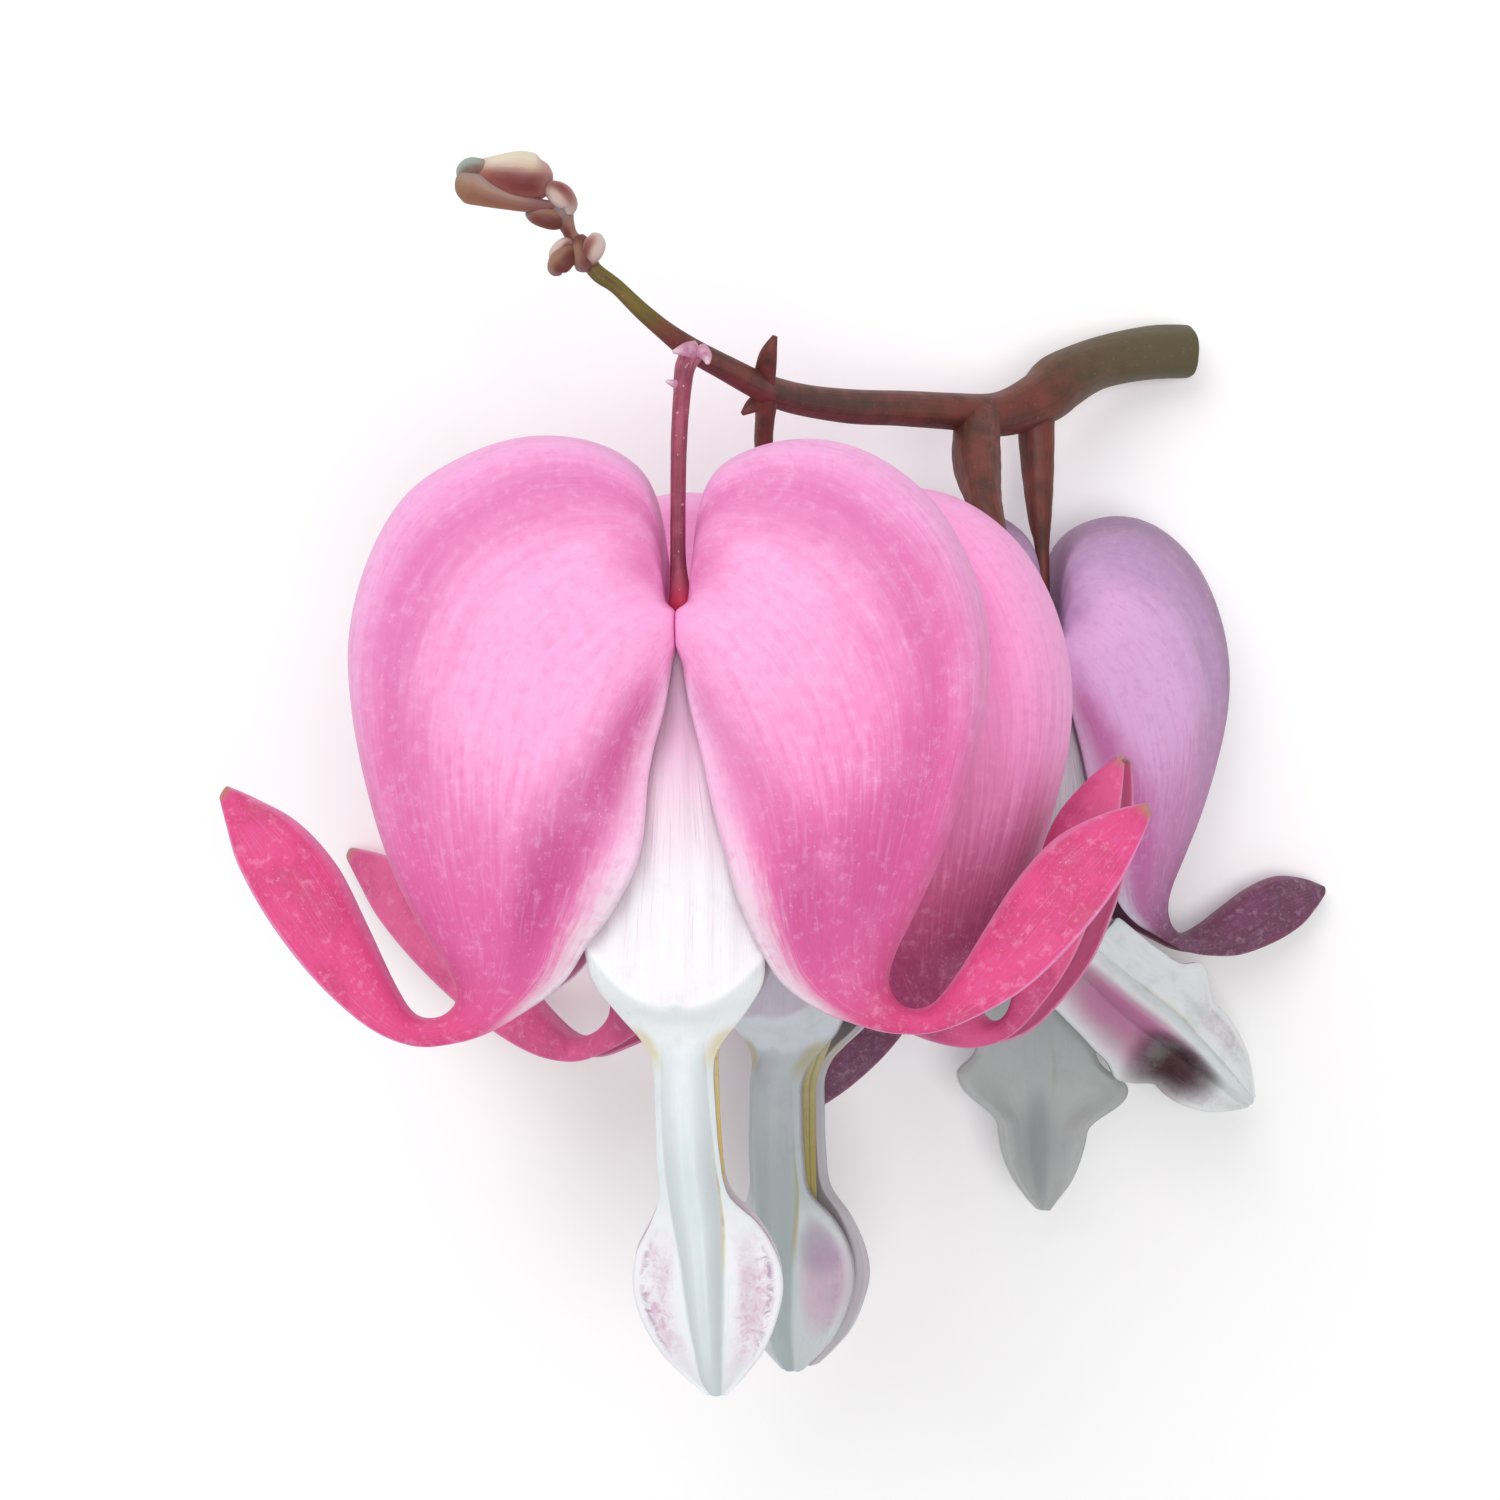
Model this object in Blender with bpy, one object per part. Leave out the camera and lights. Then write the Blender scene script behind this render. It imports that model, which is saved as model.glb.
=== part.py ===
import math

import bpy
import numpy as np

# A cut flowering spray of bleeding heart, lying on its back: the blooms face up (+Z), the stalks run to +Y.
# Lengths are in millimetres and are scaled to metres when a mesh is made.

MM = 0.001
WALL = 0.6  # thickness of a petal
EYE = 122.0  # height the layout was read from, above the surface
VIEW_SCALE = 2835.0  # readings per unit of width over distance
MIDDLE = 750.0  # the reading straight below the eye

PETAL_PINK = ("petal_pink", (0.80, 0.27, 0.53, 1), 0.55)
PETAL_ROSE = ("petal_rose", (0.76, 0.22, 0.47, 1), 0.55)
PETAL_MAUVE = ("petal_mauve", (0.50, 0.22, 0.46, 1), 0.6)
PETAL_WHITE = ("petal_white", (0.83, 0.82, 0.82, 1), 0.5)
PETAL_PALE = ("petal_pale", (0.55, 0.60, 0.58, 1), 0.5)
STAMEN_YELLOW = ("stamen_yellow", (0.72, 0.58, 0.24, 1), 0.7)
STEM_MAROON = ("stem_maroon", (0.17, 0.075, 0.065, 1), 0.6)
BUD_ROSE = ("bud_rose", (0.46, 0.20, 0.18, 1), 0.55)

# Outer petal stations from the stalk to the curled tip: keel x, y, front margin x, y, half depth.
LEFT_PETAL = (
    (-0.25, -0.45, -0.17, -0.90, 0.45),
    (-0.66, 0.90, -0.18, -1.20, 1.15),
    (-0.68, 3.20, -0.20, -1.80, 2.10),
    (-1.35, 5.05, -0.30, -2.60, 2.75),
    (-3.00, 6.08, -0.50, -3.50, 3.20),
    (-5.20, 6.33, -0.85, -4.70, 3.50),
    (-7.40, 5.77, -1.15, -5.90, 3.65),
    (-9.64, 4.38, -1.32, -7.00, 3.70),
    (-11.05, 2.12, -1.45, -7.90, 3.70),
    (-11.76, -0.60, -1.62, -8.80, 3.65),
    (-11.68, -3.30, -1.95, -9.70, 3.50),
    (-11.12, -6.20, -2.40, -10.60, 3.20),
    (-10.28, -8.90, -3.05, -11.50, 2.80),
    (-9.20, -11.10, -3.90, -12.80, 2.20),
    (-8.25, -12.60, -5.20, -13.80, 1.65),
    (-7.98, -13.60, -6.60, -14.65, 1.25),
    (-8.60, -14.22, -7.90, -15.08, 1.05),
    (-9.50, -14.15, -9.40, -15.18, 1.00),
    (-10.20, -13.15, -11.00, -14.50, 1.10),
    (-11.20, -11.05, -12.80, -12.90, 1.22),
    (-12.30, -8.90, -14.40, -10.90, 1.22),
    (-13.70, -7.35, -15.60, -8.90, 1.00),
    (-15.20, -6.50, -16.15, -7.40, 0.65),
    (-16.25, -6.05, -16.45, -6.45, 0.40),
)
RIGHT_PETAL = (
    (0.25, -0.45, 0.16, -0.90, 0.45),
    (0.60, 0.90, 0.17, -1.20, 1.15),
    (0.60, 3.10, 0.30, -1.80, 2.10),
    (1.15, 4.90, 0.45, -2.60, 2.75),
    (2.60, 5.85, 0.62, -3.50, 3.20),
    (4.70, 6.15, 0.88, -4.80, 3.50),
    (6.80, 5.58, 1.05, -5.90, 3.65),
    (8.75, 4.10, 1.25, -7.00, 3.70),
    (10.10, 1.95, 1.48, -7.90, 3.70),
    (10.80, -0.60, 1.75, -8.80, 3.65),
    (10.75, -3.20, 2.05, -9.70, 3.50),
    (10.10, -5.90, 2.45, -10.65, 3.20),
    (9.25, -8.30, 2.95, -11.65, 2.80),
    (8.35, -10.30, 3.70, -12.85, 2.20),
    (7.55, -11.95, 4.90, -13.75, 1.65),
    (7.35, -13.00, 6.20, -14.30, 1.25),
    (7.85, -13.75, 7.50, -14.62, 1.05),
    (8.75, -13.72, 8.90, -14.58, 1.00),
    (9.65, -12.70, 10.40, -14.00, 1.10),
    (10.70, -11.00, 12.20, -12.90, 1.22),
    (11.80, -9.30, 14.00, -11.10, 1.22),
    (13.20, -7.80, 15.30, -9.40, 1.00),
    (14.90, -6.95, 16.05, -7.95, 0.65),
    (16.30, -6.60, 16.45, -7.00, 0.40),
)
NECK = 15  # station where an outer petal turns outwards
FOLD = 2.03  # how far round, in radians, an outer petal wraps from its keel to a margin
FULLNESS = 0.8  # under 1 makes the sides of an outer petal rounder
RIM_AT, RIM_WIDTH, RIM_RISE = 0.20, 0.09, 0.12  # the raised band beside the keel
CHANNEL_AT, CHANNEL_WIDTH, CHANNEL_FALL = 0.37, 0.10, 0.28  # the shallow channel next to it
TIP_SHARE = 0.78  # near its ends an outer petal is this share of its half depth thick
SAMPLING = 4  # points measured between two rows to find which way a wall faces
CURL_ROWS = 4.0  # stations over which a change of its curl builds up

# Inner petal stations: y at the middle, y at the sides, left x, right x, height, fall to the sides,
# crest middle x, crest half width, crest height.
INNER_PETAL = (
    (-2.1, -2.1, -0.40, 0.40, 0.90, 0.10, 0.00, 0.20, 0.00),
    (-3.6, -3.4, -1.05, 1.05, 1.55, 0.35, 0.00, 0.40, 0.05),
    (-6.0, -5.4, -2.15, 2.20, 2.35, 0.75, 0.00, 0.50, 0.05),
    (-9.2, -8.2, -2.85, 2.95, 2.62, 0.95, 0.00, 0.60, 0.05),
    (-11.8, -10.4, -3.15, 3.10, 2.78, 1.00, 0.05, 0.70, 0.08),
    (-13.2, -11.9, -3.15, 3.10, 2.95, 1.00, 0.05, 0.80, 0.10),
    (-13.75, -12.9, -2.85, 2.98, 2.75, 0.95, 0.10, 0.80, 0.05),
    (-14.3, -14.0, -2.05, 2.30, 2.10, 0.70, 0.15, 0.80, 0.05),
    (-14.95, -14.9, -1.30, 1.60, 1.60, 0.45, 0.20, 0.75, 0.15),
    (-15.7, -15.7, -0.90, 1.25, 1.50, 0.40, 0.20, 0.80, 0.35),
    (-17.3, -17.3, -0.80, 1.30, 1.50, 0.40, 0.27, 0.85, 0.55),
    (-19.0, -19.0, -0.74, 1.45, 1.50, 0.40, 0.40, 0.90, 0.75),
    (-20.3, -20.3, -0.66, 1.75, 1.50, 0.45, 0.58, 0.92, 0.95),
    (-21.3, -21.3, -0.98, 2.75, 1.55, 0.70, 0.72, 0.88, 1.10),
    (-22.4, -22.4, -1.50, 3.42, 1.60, 0.85, 0.84, 0.76, 1.15),
    (-23.5, -23.5, -1.62, 3.65, 1.60, 0.85, 0.92, 0.68, 1.10),
    (-24.7, -24.7, -1.32, 3.42, 1.50, 0.75, 1.00, 0.58, 1.00),
    (-25.8, -25.8, -0.66, 2.95, 1.35, 0.60, 1.08, 0.46, 0.80),
    (-26.7, -26.7, 0.22, 2.25, 1.10, 0.35, 1.15, 0.38, 0.50),
    (-27.3, -27.3, 1.00, 1.68, 0.90, 0.10, 1.30, 0.20, 0.20),
)
WAIST = 8  # station of the waist below the bell of an inner petal

# Stamens, bundled with the pistil: y, left x, right x, half depth.
STAMENS = (
    (-1.6, -0.25, 0.25, 0.20),
    (-4.0, -1.00, 1.00, 0.45),
    (-8.0, -1.55, 1.60, 0.60),
    (-12.0, -1.60, 1.75, 0.60),
    (-14.4, -1.30, 1.65, 0.52),
    (-15.4, -1.08, 1.52, 0.50),
    (-17.0, -0.65, 1.50, 0.48),
    (-19.0, -0.55, 1.62, 0.45),
    (-21.0, -0.30, 1.75, 0.42),
    (-23.0, 0.10, 1.80, 0.40),
    (-24.6, 0.60, 1.50, 0.30),
)

# Stalks as points seen at (across, down) from the eye, height above the surface, radius.
STEM = (
    (1187, 352, 1.19, 1.12),
    (1150, 353, 1.75, 1.14),
    (1100, 363, 2.65, 1.08),
    (1062, 381, 3.80, 1.22),
    (1041, 398, 4.60, 1.12),
    (1000, 414, 5.90, 0.90),
    (950, 411, 7.90, 0.74),
    (900, 408, 10.10, 0.70),
    (850, 406, 12.40, 0.66),
    (800, 399, 14.90, 0.60),
    (765, 388, 16.90, 0.54),
    (726, 368, 19.30, 0.46),
    (691, 349, 21.20, 0.42),
    (667, 332, 22.10, 0.35),
    (642, 311, 22.60, 0.30),
    (617, 287, 22.90, 0.27),
    (600, 275, 23.00, 0.25),
)
STALKS = (
    (
        (692, 354, 21.30, 0.40),
        (685, 368, 21.70, 0.36),
        (682, 395, 21.95, 0.31),
        (679, 440, 22.0, 0.29),
        (678, 500, 22.0, 0.27),
        (678, 560, 22.0, 0.27),
        (680, 597, 22.0, 0.30),
        (681, 612, 22.0, 0.12),
    ),
    (
        (768, 392, 16.70, 0.44),
        (765, 420, 16.20, 0.37),
        (764, 450, 15.60, 0.35),
        (770, 520, 13.90, 0.33),
        (783, 590, 12.40, 0.32),
        (793, 634, 11.60, 0.30),
        (796, 650, 11.50, 0.12),
    ),
    (
        (978, 418, 6.90, 0.90),
        (977, 460, 8.60, 0.98),
        (984, 500, 10.40, 0.70),
        (995, 540, 11.20, 0.50),
        (1002, 566, 11.50, 0.25),
    ),
    (
        (1036, 412, 4.60, 0.80),
        (1038, 470, 4.40, 0.68),
        (1040, 520, 4.25, 0.48),
        (1042, 548, 4.20, 0.30),
        (1043, 600, 4.20, 0.26),
        (1043, 634, 4.20, 0.12),
    ),
)
BRACTS = (
    ((764, 382, 17.3, 0.42), (768, 356, 18.4, 0.34), (775, 336, 18.8, 0.10)),
    ((764, 398, 16.6, 0.36), (752, 406, 16.9, 0.28), (742, 414, 17.0, 0.08)),
    ((694, 350, 21.6, 0.38), (684, 350, 22.1, 0.24), (673, 352, 22.3, 0.07)),
    ((683, 388, 21.9, 0.26), (675, 384, 22.1, 0.16), (666, 381, 22.2, 0.06)),
    ((700, 350, 21.6, 0.30), (706, 356, 22.1, 0.22), (708, 364, 22.3, 0.07)),
)
TIP_STALK = (
    (591, 266, 23.0, 0.23),
    (580, 252, 23.1, 0.23),
    (571, 236, 23.2, 0.22),
    (562, 220, 23.3, 0.22),
    (553, 204, 23.4, 0.28),
    (545, 192, 23.5, 0.40),
)
BUDS = (
    (
        (552, 194, 23.5, 0.20),
        (545, 184, 23.5, 0.62),
        (528, 181, 23.5, 0.94),
        (508, 181, 23.5, 1.02),
        (488, 184, 23.5, 0.92),
        (472, 185, 23.5, 0.86),
        (462, 183, 23.5, 0.66),
        (458, 182, 23.5, 0.40),
    ),
    (
        (558, 219, 23.3, 0.22),
        (564, 208, 23.4, 0.42),
        (566, 199, 23.4, 0.36),
        (560, 190, 23.5, 0.16),
    ),
    (
        (560, 222, 23.3, 0.16),
        (546, 221, 23.3, 0.32),
        (534, 218, 23.3, 0.30),
        (527, 213, 23.3, 0.12),
    ),
    (
        (577, 250, 23.2, 0.25),
        (565, 256, 23.3, 0.50),
        (558, 266, 23.3, 0.38),
        (557, 273, 23.3, 0.15),
    ),
    (
        (574, 251, 23.0, 0.20),
        (574, 263, 23.2, 0.34),
        (571, 270, 23.2, 0.14),
    ),
    (
        (582, 255, 23.1, 0.22),
        (590, 246, 23.3, 0.46),
        (597, 238, 23.3, 0.30),
        (600, 234, 23.3, 0.12),
    ),
    (
        (586, 258, 23.0, 0.20),
        (597, 254, 23.2, 0.32),
        (603, 247, 23.2, 0.12),
    ),
)

# Blooms: where the stalk meets each, its size, how it is turned, and how its petals differ.
# A curl is degrees, stretch and rise per length. A swing is degrees, share of its length, breadth of the claw,
# station where that breadth fades, rise per length and side shift.
BLOOMS = (
    {
        "name": "bloom1",
        "at": (681, 615, 22.0),
        "size": 1.0,
        "lift": 4.0,
        "narrow": 1.0,
        "left_curl": (0.0, 1.0, 0.0),
        "right_curl": (0.0, 1.0, 0.0),
        "front_swing": (0.0, 1.0, 1.0, 12.0, 0.0, 0.0),
        "back_swing": (-0.6, 1.0, 1.0, 12.0, 0.0, 0.0),
        "rows": 28,
        "columns": 11,
        "outer": PETAL_PINK,
        "inner": PETAL_WHITE,
    },
    {
        "name": "bloom2",
        "at": (797, 655, 11.5),
        "size": 1.028,
        "lift": 28.0,
        "narrow": 1.0,
        "left_curl": (18.0, 1.27, -0.058),
        "right_curl": (22.0, 1.0, 0.0),
        "front_swing": (-3.0, 0.97, 1.0, 12.0, 0.0, -0.5),
        "back_swing": (-3.0, 0.97, 1.0, 12.0, 0.0, -0.5),
        "rows": 26,
        "columns": 11,
        "outer": PETAL_ROSE,
        "inner": PETAL_WHITE,
    },
    {
        "name": "bloom3",
        "at": (1043, 641, 4.2),
        "size": 0.853,
        "lift": -15.0,
        "narrow": 0.87,
        "left_curl": (88.0, 1.0, 0.0),
        "right_curl": (-29.0, 0.88, -0.03),
        "front_swing": (48.0, 1.05, 2.8, 11.6, 0.12, 0.0),
        "back_swing": (-5.0, 1.03, 3.2, 12.1, -0.02, 0.0),
        "rows": 23,
        "columns": 9,
        "outer": PETAL_MAUVE,
        "inner": PETAL_PALE,
    },
)


# Clears the scene and makes one surface per name.
def clear_scene():
    for obj in list(bpy.data.objects):
        bpy.data.objects.remove(obj, do_unlink=True)


def material(look):
    name, colour, roughness = look
    found = bpy.data.materials.get(name)
    if found:
        return found
    made = bpy.data.materials.new(name)
    made.use_nodes = True
    surface = made.node_tree.nodes["Principled BSDF"]
    surface.inputs["Base Color"].default_value = colour
    surface.inputs["Roughness"].default_value = roughness
    surface.inputs["Metallic"].default_value = 0.0
    return made


# Smooth curves through rows of numbers.
def smooth(rows, places):
    rows = np.asarray(rows, float)
    last = len(rows) - 1
    places = np.clip(np.asarray(places, float), 0, last)
    i = np.minimum(places.astype(int), last - 1)
    f = (places - i)[:, None]
    before, here = rows[np.maximum(i - 1, 0)], rows[i]
    after, next_after = rows[i + 1], rows[np.minimum(i + 2, last)]
    return 0.5 * (
        2 * here
        + (after - before) * f
        + (2 * before - 5 * here + 4 * after - next_after) * f**2
        + (3 * here - before - 3 * after + next_after) * f**3
    )


def ease(value):
    value = np.clip(value, 0.0, 1.0)
    return value * value * (3 - 2 * value)


# Turns a reading from the eye at a given height into a point.
def seen(across, down, height):
    per_reading = (EYE - height) / VIEW_SCALE
    return np.array([(across - MIDDLE) * per_reading, (MIDDLE - down) * per_reading, height])


# Meshes: closed shells from grids of points, all facing out.
def mesh_object(name, points, faces, look):
    points = np.asarray(points, float)
    faces = np.asarray(faces, int)
    corners = points[faces]
    volume = np.einsum("ij,ij->i", corners[:, 0], np.cross(corners[:, 1], corners[:, 2])).sum()
    if volume < 0:
        faces = faces[:, ::-1]
    mesh = bpy.data.meshes.new(name)
    mesh.from_pydata((points * MM).tolist(), [], faces.tolist())
    mesh.polygons.foreach_set("use_smooth", [True] * len(mesh.polygons))
    mesh.materials.append(material(look))
    obj = bpy.data.objects.new(name, mesh)
    bpy.context.scene.collection.objects.link(obj)
    return obj


def sheet(name, outer, inner, look):
    rows, columns = outer.shape[:2]
    index = np.arange(rows * columns).reshape(rows, columns)
    under = index + rows * columns
    faces = []
    for r in range(rows - 1):
        for c in range(columns - 1):
            a, b, d, e = index[r, c], index[r, c + 1], index[r + 1, c + 1], index[r + 1, c]
            faces += [(a, b, d), (a, d, e)]
            a, b, d, e = under[r, c], under[r, c + 1], under[r + 1, c + 1], under[r + 1, c]
            faces += [(d, b, a), (e, d, a)]
    around = [(0, c) for c in range(columns)] + [(r, columns - 1) for r in range(1, rows)]
    around += [(rows - 1, c) for c in range(columns - 2, -1, -1)] + [(r, 0) for r in range(rows - 2, 0, -1)]
    for one, two in zip(around, around[1:] + around[:1]):
        faces += [(index[two], index[one], under[one]), (index[two], under[one], under[two])]
    points = np.concatenate([outer.reshape(-1, 3), inner.reshape(-1, 3)])
    return mesh_object(name, points, faces, look)


def loft(name, rings, look):
    rings = np.asarray(rings, float)
    count, sides = rings.shape[:2]
    index = np.arange(count * sides).reshape(count, sides)
    first, last = count * sides, count * sides + 1
    faces = []
    for r in range(count - 1):
        for s in range(sides):
            n = (s + 1) % sides
            faces += [(index[r, s], index[r, n], index[r + 1, n])]
            faces += [(index[r, s], index[r + 1, n], index[r + 1, s])]
    for s in range(sides):
        n = (s + 1) % sides
        faces += [(index[0, n], index[0, s], first), (index[-1, s], index[-1, n], last)]
    points = np.concatenate([rings.reshape(-1, 3), rings[0].mean(0)[None], rings[-1].mean(0)[None]])
    return mesh_object(name, points, faces, look)


# A stalk, bract or bud: rings round a path of (across, down, height, radius), flattened by depth.
def stalk(name, path, sides, steps, look, depth=1.0):
    places = np.linspace(0, len(path) - 1, steps)
    path = smooth([(*seen(*row[:3]), row[3]) for row in path], places)
    centres, radii = path[:, :3], path[:, 3]
    along = np.gradient(centres, axis=0)
    along /= np.linalg.norm(along, axis=1)[:, None]
    side = np.cross(along, (0, 0, 1))
    side /= np.linalg.norm(side, axis=1)[:, None]
    up = np.cross(side, along)
    angles = np.arange(sides) * 2 * math.pi / sides
    rings = [
        c + r * (np.cos(angles)[:, None] * s + np.sin(angles)[:, None] * u * depth)
        for c, r, s, u in zip(centres, radii, side, up)
    ]
    return loft(name, rings, look)


# Joins overlapping shells into one body.
def union(name, pieces):
    group = bpy.data.collections.new(name + "_pieces")
    bpy.context.scene.collection.children.link(group)
    base, others = pieces[0], pieces[1:]
    for obj in others:
        bpy.context.scene.collection.objects.unlink(obj)
        group.objects.link(obj)
    joining = base.modifiers.new("join", "BOOLEAN")
    joining.operation = "UNION"
    joining.operand_type = "COLLECTION"
    joining.collection = group
    joining.solver = "MANIFOLD"
    graph = bpy.context.evaluated_depsgraph_get()
    mesh = bpy.data.meshes.new_from_object(base.evaluated_get(graph), depsgraph=graph)
    base.modifiers.clear()
    base.data = mesh
    base.name = name
    for obj in others:
        bpy.data.objects.remove(obj, do_unlink=True)
    bpy.data.collections.remove(group)
    return base


# Bends the free end of an outer petal: turn in degrees, stretch, and drop per length.
def curled(stations, turn, stretch, drop):
    rows = np.asarray(stations, float)
    keel, margin = rows[:, :2], rows[:, 2:4]
    middle, half = (keel + margin) / 2, (keel - margin) / 2
    share = ease((np.arange(len(rows)) - NECK + 1) / CURL_ROWS)
    angles = np.radians(turn) * share
    placed, height = [middle[0]], [0.0]
    for i in range(1, len(rows)):
        step = (middle[i] - middle[i - 1]) * (1 + (stretch - 1) * share[i])
        c, s = math.cos(angles[i]), math.sin(angles[i])
        placed.append(placed[-1] + (c * step[0] - s * step[1], s * step[0] + c * step[1]))
        height.append(height[-1] + drop * share[i] * float(np.hypot(*step)))
    placed = np.array(placed)
    c, s = np.cos(angles), np.sin(angles)
    turned = np.stack([c * half[:, 0] - s * half[:, 1], s * half[:, 0] + c * half[:, 1]], 1)
    return np.column_stack([placed + turned, placed - turned, rows[:, 4], height])


# The surface of an outer petal: across runs from the back margin (-1) over the keel (0) to the front (1).
def outer_petal(stations, places, across):
    rows = smooth(stations, places)
    keel, margin, depth, lift = rows[:, None, :2], rows[:, None, 2:4], rows[:, None, 4], rows[:, None, 5]
    turn = np.abs(across)[None, :] * FOLD
    reach = (1 - np.cos(turn)) / (1 - math.cos(FOLD))
    rise = np.sin(turn) ** FULLNESS
    pouch = ease(places / 3)[:, None] * ease((NECK - 2 - places) / 4)[:, None]
    rim = np.exp(-(((np.abs(across) - RIM_AT) / RIM_WIDTH) ** 2))[None, :]
    channel = np.exp(-(((np.abs(across) - CHANNEL_AT) / CHANNEL_WIDTH) ** 2))[None, :]
    depths = depth * rise + pouch * (RIM_RISE * rim - CHANNEL_FALL * channel)
    flat = keel + (margin - keel) * reach[..., None]
    return np.dstack([flat, np.sign(across)[None, :] * depths + lift])


def surface_normals(points):
    along = np.gradient(points, axis=0)
    over = np.gradient(points, axis=1)
    normal = np.cross(along, over)
    return normal / np.maximum(np.linalg.norm(normal, axis=2), 1e-9)[..., None]


def outer_petal_walls(stations, rows, columns):
    places = np.linspace(0, len(stations) - 1, (rows - 1) * SAMPLING + 1)
    across = np.linspace(-1, 1, (columns - 1) * SAMPLING + 1)
    points = outer_petal(stations, places, across)
    normals = surface_normals(points)
    depth = smooth(stations, places)[:, 4]
    row, column = places.size // 3, across.size // 2
    if normals[row, column, 0] * points[row, column, 0] > 0:
        normals = -normals
    thick = np.minimum(WALL, TIP_SHARE * depth)[:, None, None]
    inner = points + normals * thick
    return points[::SAMPLING, ::SAMPLING], inner[::SAMPLING, ::SAMPLING]


# Swings what hangs below the waist of the inner petals: degrees, share of its length, rise per length, side shift.
def swung(x, y, swing, length, tilt, sway):
    pivot_x, pivot_y = 0.2, INNER_PETAL[WAIST][0] + 1.0
    beyond = np.maximum(pivot_y - y, 0.0)
    angle = np.radians(swing) * ease(beyond / 2.5)
    dx, dy = x - pivot_x, -beyond * length
    new_x = pivot_x + dx * np.cos(angle) - dy * np.sin(angle) + sway * ease(beyond / 2.5)
    new_y = np.where(beyond > 0, pivot_y + dx * np.sin(angle) + dy * np.cos(angle), y)
    return new_x, new_y, tilt * beyond


# The face of an inner petal: across runs from the left side (-1) to the right (1), the crest inside half of it.
def inner_petal(places, across, swing, length, broad, fade, tilt, sway):
    rows = smooth(INNER_PETAL, places)
    middle_y, side_y, left, right, height, fall, crest_x, crest_w, crest_h = (rows[:, i : i + 1] for i in range(9))
    below = ease((places - WAIST + 1.5) / 2)[:, None]
    centre = (left + right) / 2
    wider = 1 + (broad - 1) * below * (1 - ease((places - fade) / 3)[:, None])
    left, right = centre + (left - centre) * wider, centre + (right - centre) * wider
    v = across[None, :]
    crest_left, crest_right = crest_x - crest_w, crest_x + crest_w
    outside = np.clip((np.abs(v) - 0.5) / 0.5, 0, 1)
    inside = np.clip(np.abs(v) / 0.5, 0, 1)
    edge = np.where(v < 0, left, right)
    foot = np.where(v < 0, np.maximum(crest_left, left + 0.12), np.minimum(crest_right, right - 0.12))
    x = np.where(np.abs(v) > 0.5, foot + (edge - foot) * outside, crest_x + (foot - crest_x) * inside)
    spread = np.abs(x - centre) / np.maximum((right - left) / 2, 0.05)
    y = middle_y + (side_y - middle_y) * spread**2
    base = height - fall * spread**2
    crest = crest_h * np.clip(1 - inside**2.5, 0, 1) ** 0.6
    x, y, lift = swung(x, y, swing, length, tilt, sway)
    return np.dstack([x, y, base + crest + lift]), np.dstack([x, y, base - WALL + lift])


def stamen_rings(steps, sides, swing, length, tilt, sway):
    rows = smooth(STAMENS, np.linspace(0, len(STAMENS) - 1, steps))
    angles = np.arange(sides) * 2 * math.pi / sides
    rings = []
    for y, left, right, depth in rows:
        waist = 0.62 + 0.38 * np.abs(np.cos(angles))
        x = (left + right) / 2 + (right - left) / 2 * np.cos(angles)
        x, across_y, lift = swung(x, np.full(sides, y), swing, length, tilt, sway)
        rings.append(np.column_stack([x, across_y, depth * np.sin(angles) * waist + lift]))
    return rings


# Places a bloom's own points: lifted about its length, sized, and set where its stalk ends.
def placed(points, bloom):
    angle = math.radians(bloom["lift"])
    c, s = math.cos(angle), math.sin(angle)
    x = points[..., 0] * bloom["narrow"]
    z = points[..., 2]
    turned = np.stack([x * c - z * s, points[..., 1], x * s + z * c], -1)
    return turned * bloom["size"] + seen(*bloom["at"])


def build_bloom(bloom):
    name, rows, columns = bloom["name"], bloom["rows"], bloom["columns"]
    for side, stations in (("left", LEFT_PETAL), ("right", RIGHT_PETAL)):
        bent = curled(stations, *bloom[side + "_curl"])
        outer, inner = outer_petal_walls(bent, rows, columns)
        sheet(f"{name}_outer_petal_{side}", placed(outer, bloom), placed(inner, bloom), bloom["outer"])
    places = np.linspace(0, len(INNER_PETAL) - 1, 19)
    across = np.array([-1.0, -0.75, -0.5, -0.38, 0.0, 0.38, 0.5, 0.75, 1.0])
    for side, facing in (("front", 1), ("back", -1)):
        face, under = inner_petal(places, across, *bloom[side + "_swing"])
        flip = np.array([1, 1, facing])
        sheet(f"{name}_inner_petal_{side}", placed(face * flip, bloom), placed(under * flip, bloom), bloom["inner"])
    swing, length, _, _, tilt, sway = bloom["front_swing"]
    rings = np.array(stamen_rings(12, 8, swing, length, tilt, sway))
    loft(f"{name}_stamens", placed(rings, bloom), STAMEN_YELLOW)


def build_stems():
    pieces = [stalk("stem", STEM, 9, 24, STEM_MAROON)]
    pieces += [stalk(f"stalk{i}", path, 7, 9, STEM_MAROON) for i, path in enumerate(STALKS)]
    pieces += [stalk(f"bract{i}", path, 5, 4, STEM_MAROON, 0.6) for i, path in enumerate(BRACTS)]
    union("stem", pieces)
    pieces = [stalk("tip", TIP_STALK, 6, 6, BUD_ROSE)]
    pieces += [stalk(f"bud{i}", path, 9 if i == 0 else 7, len(path) + 3, BUD_ROSE, 0.9) for i, path in enumerate(BUDS)]
    union("bud_cluster", pieces)


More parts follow.
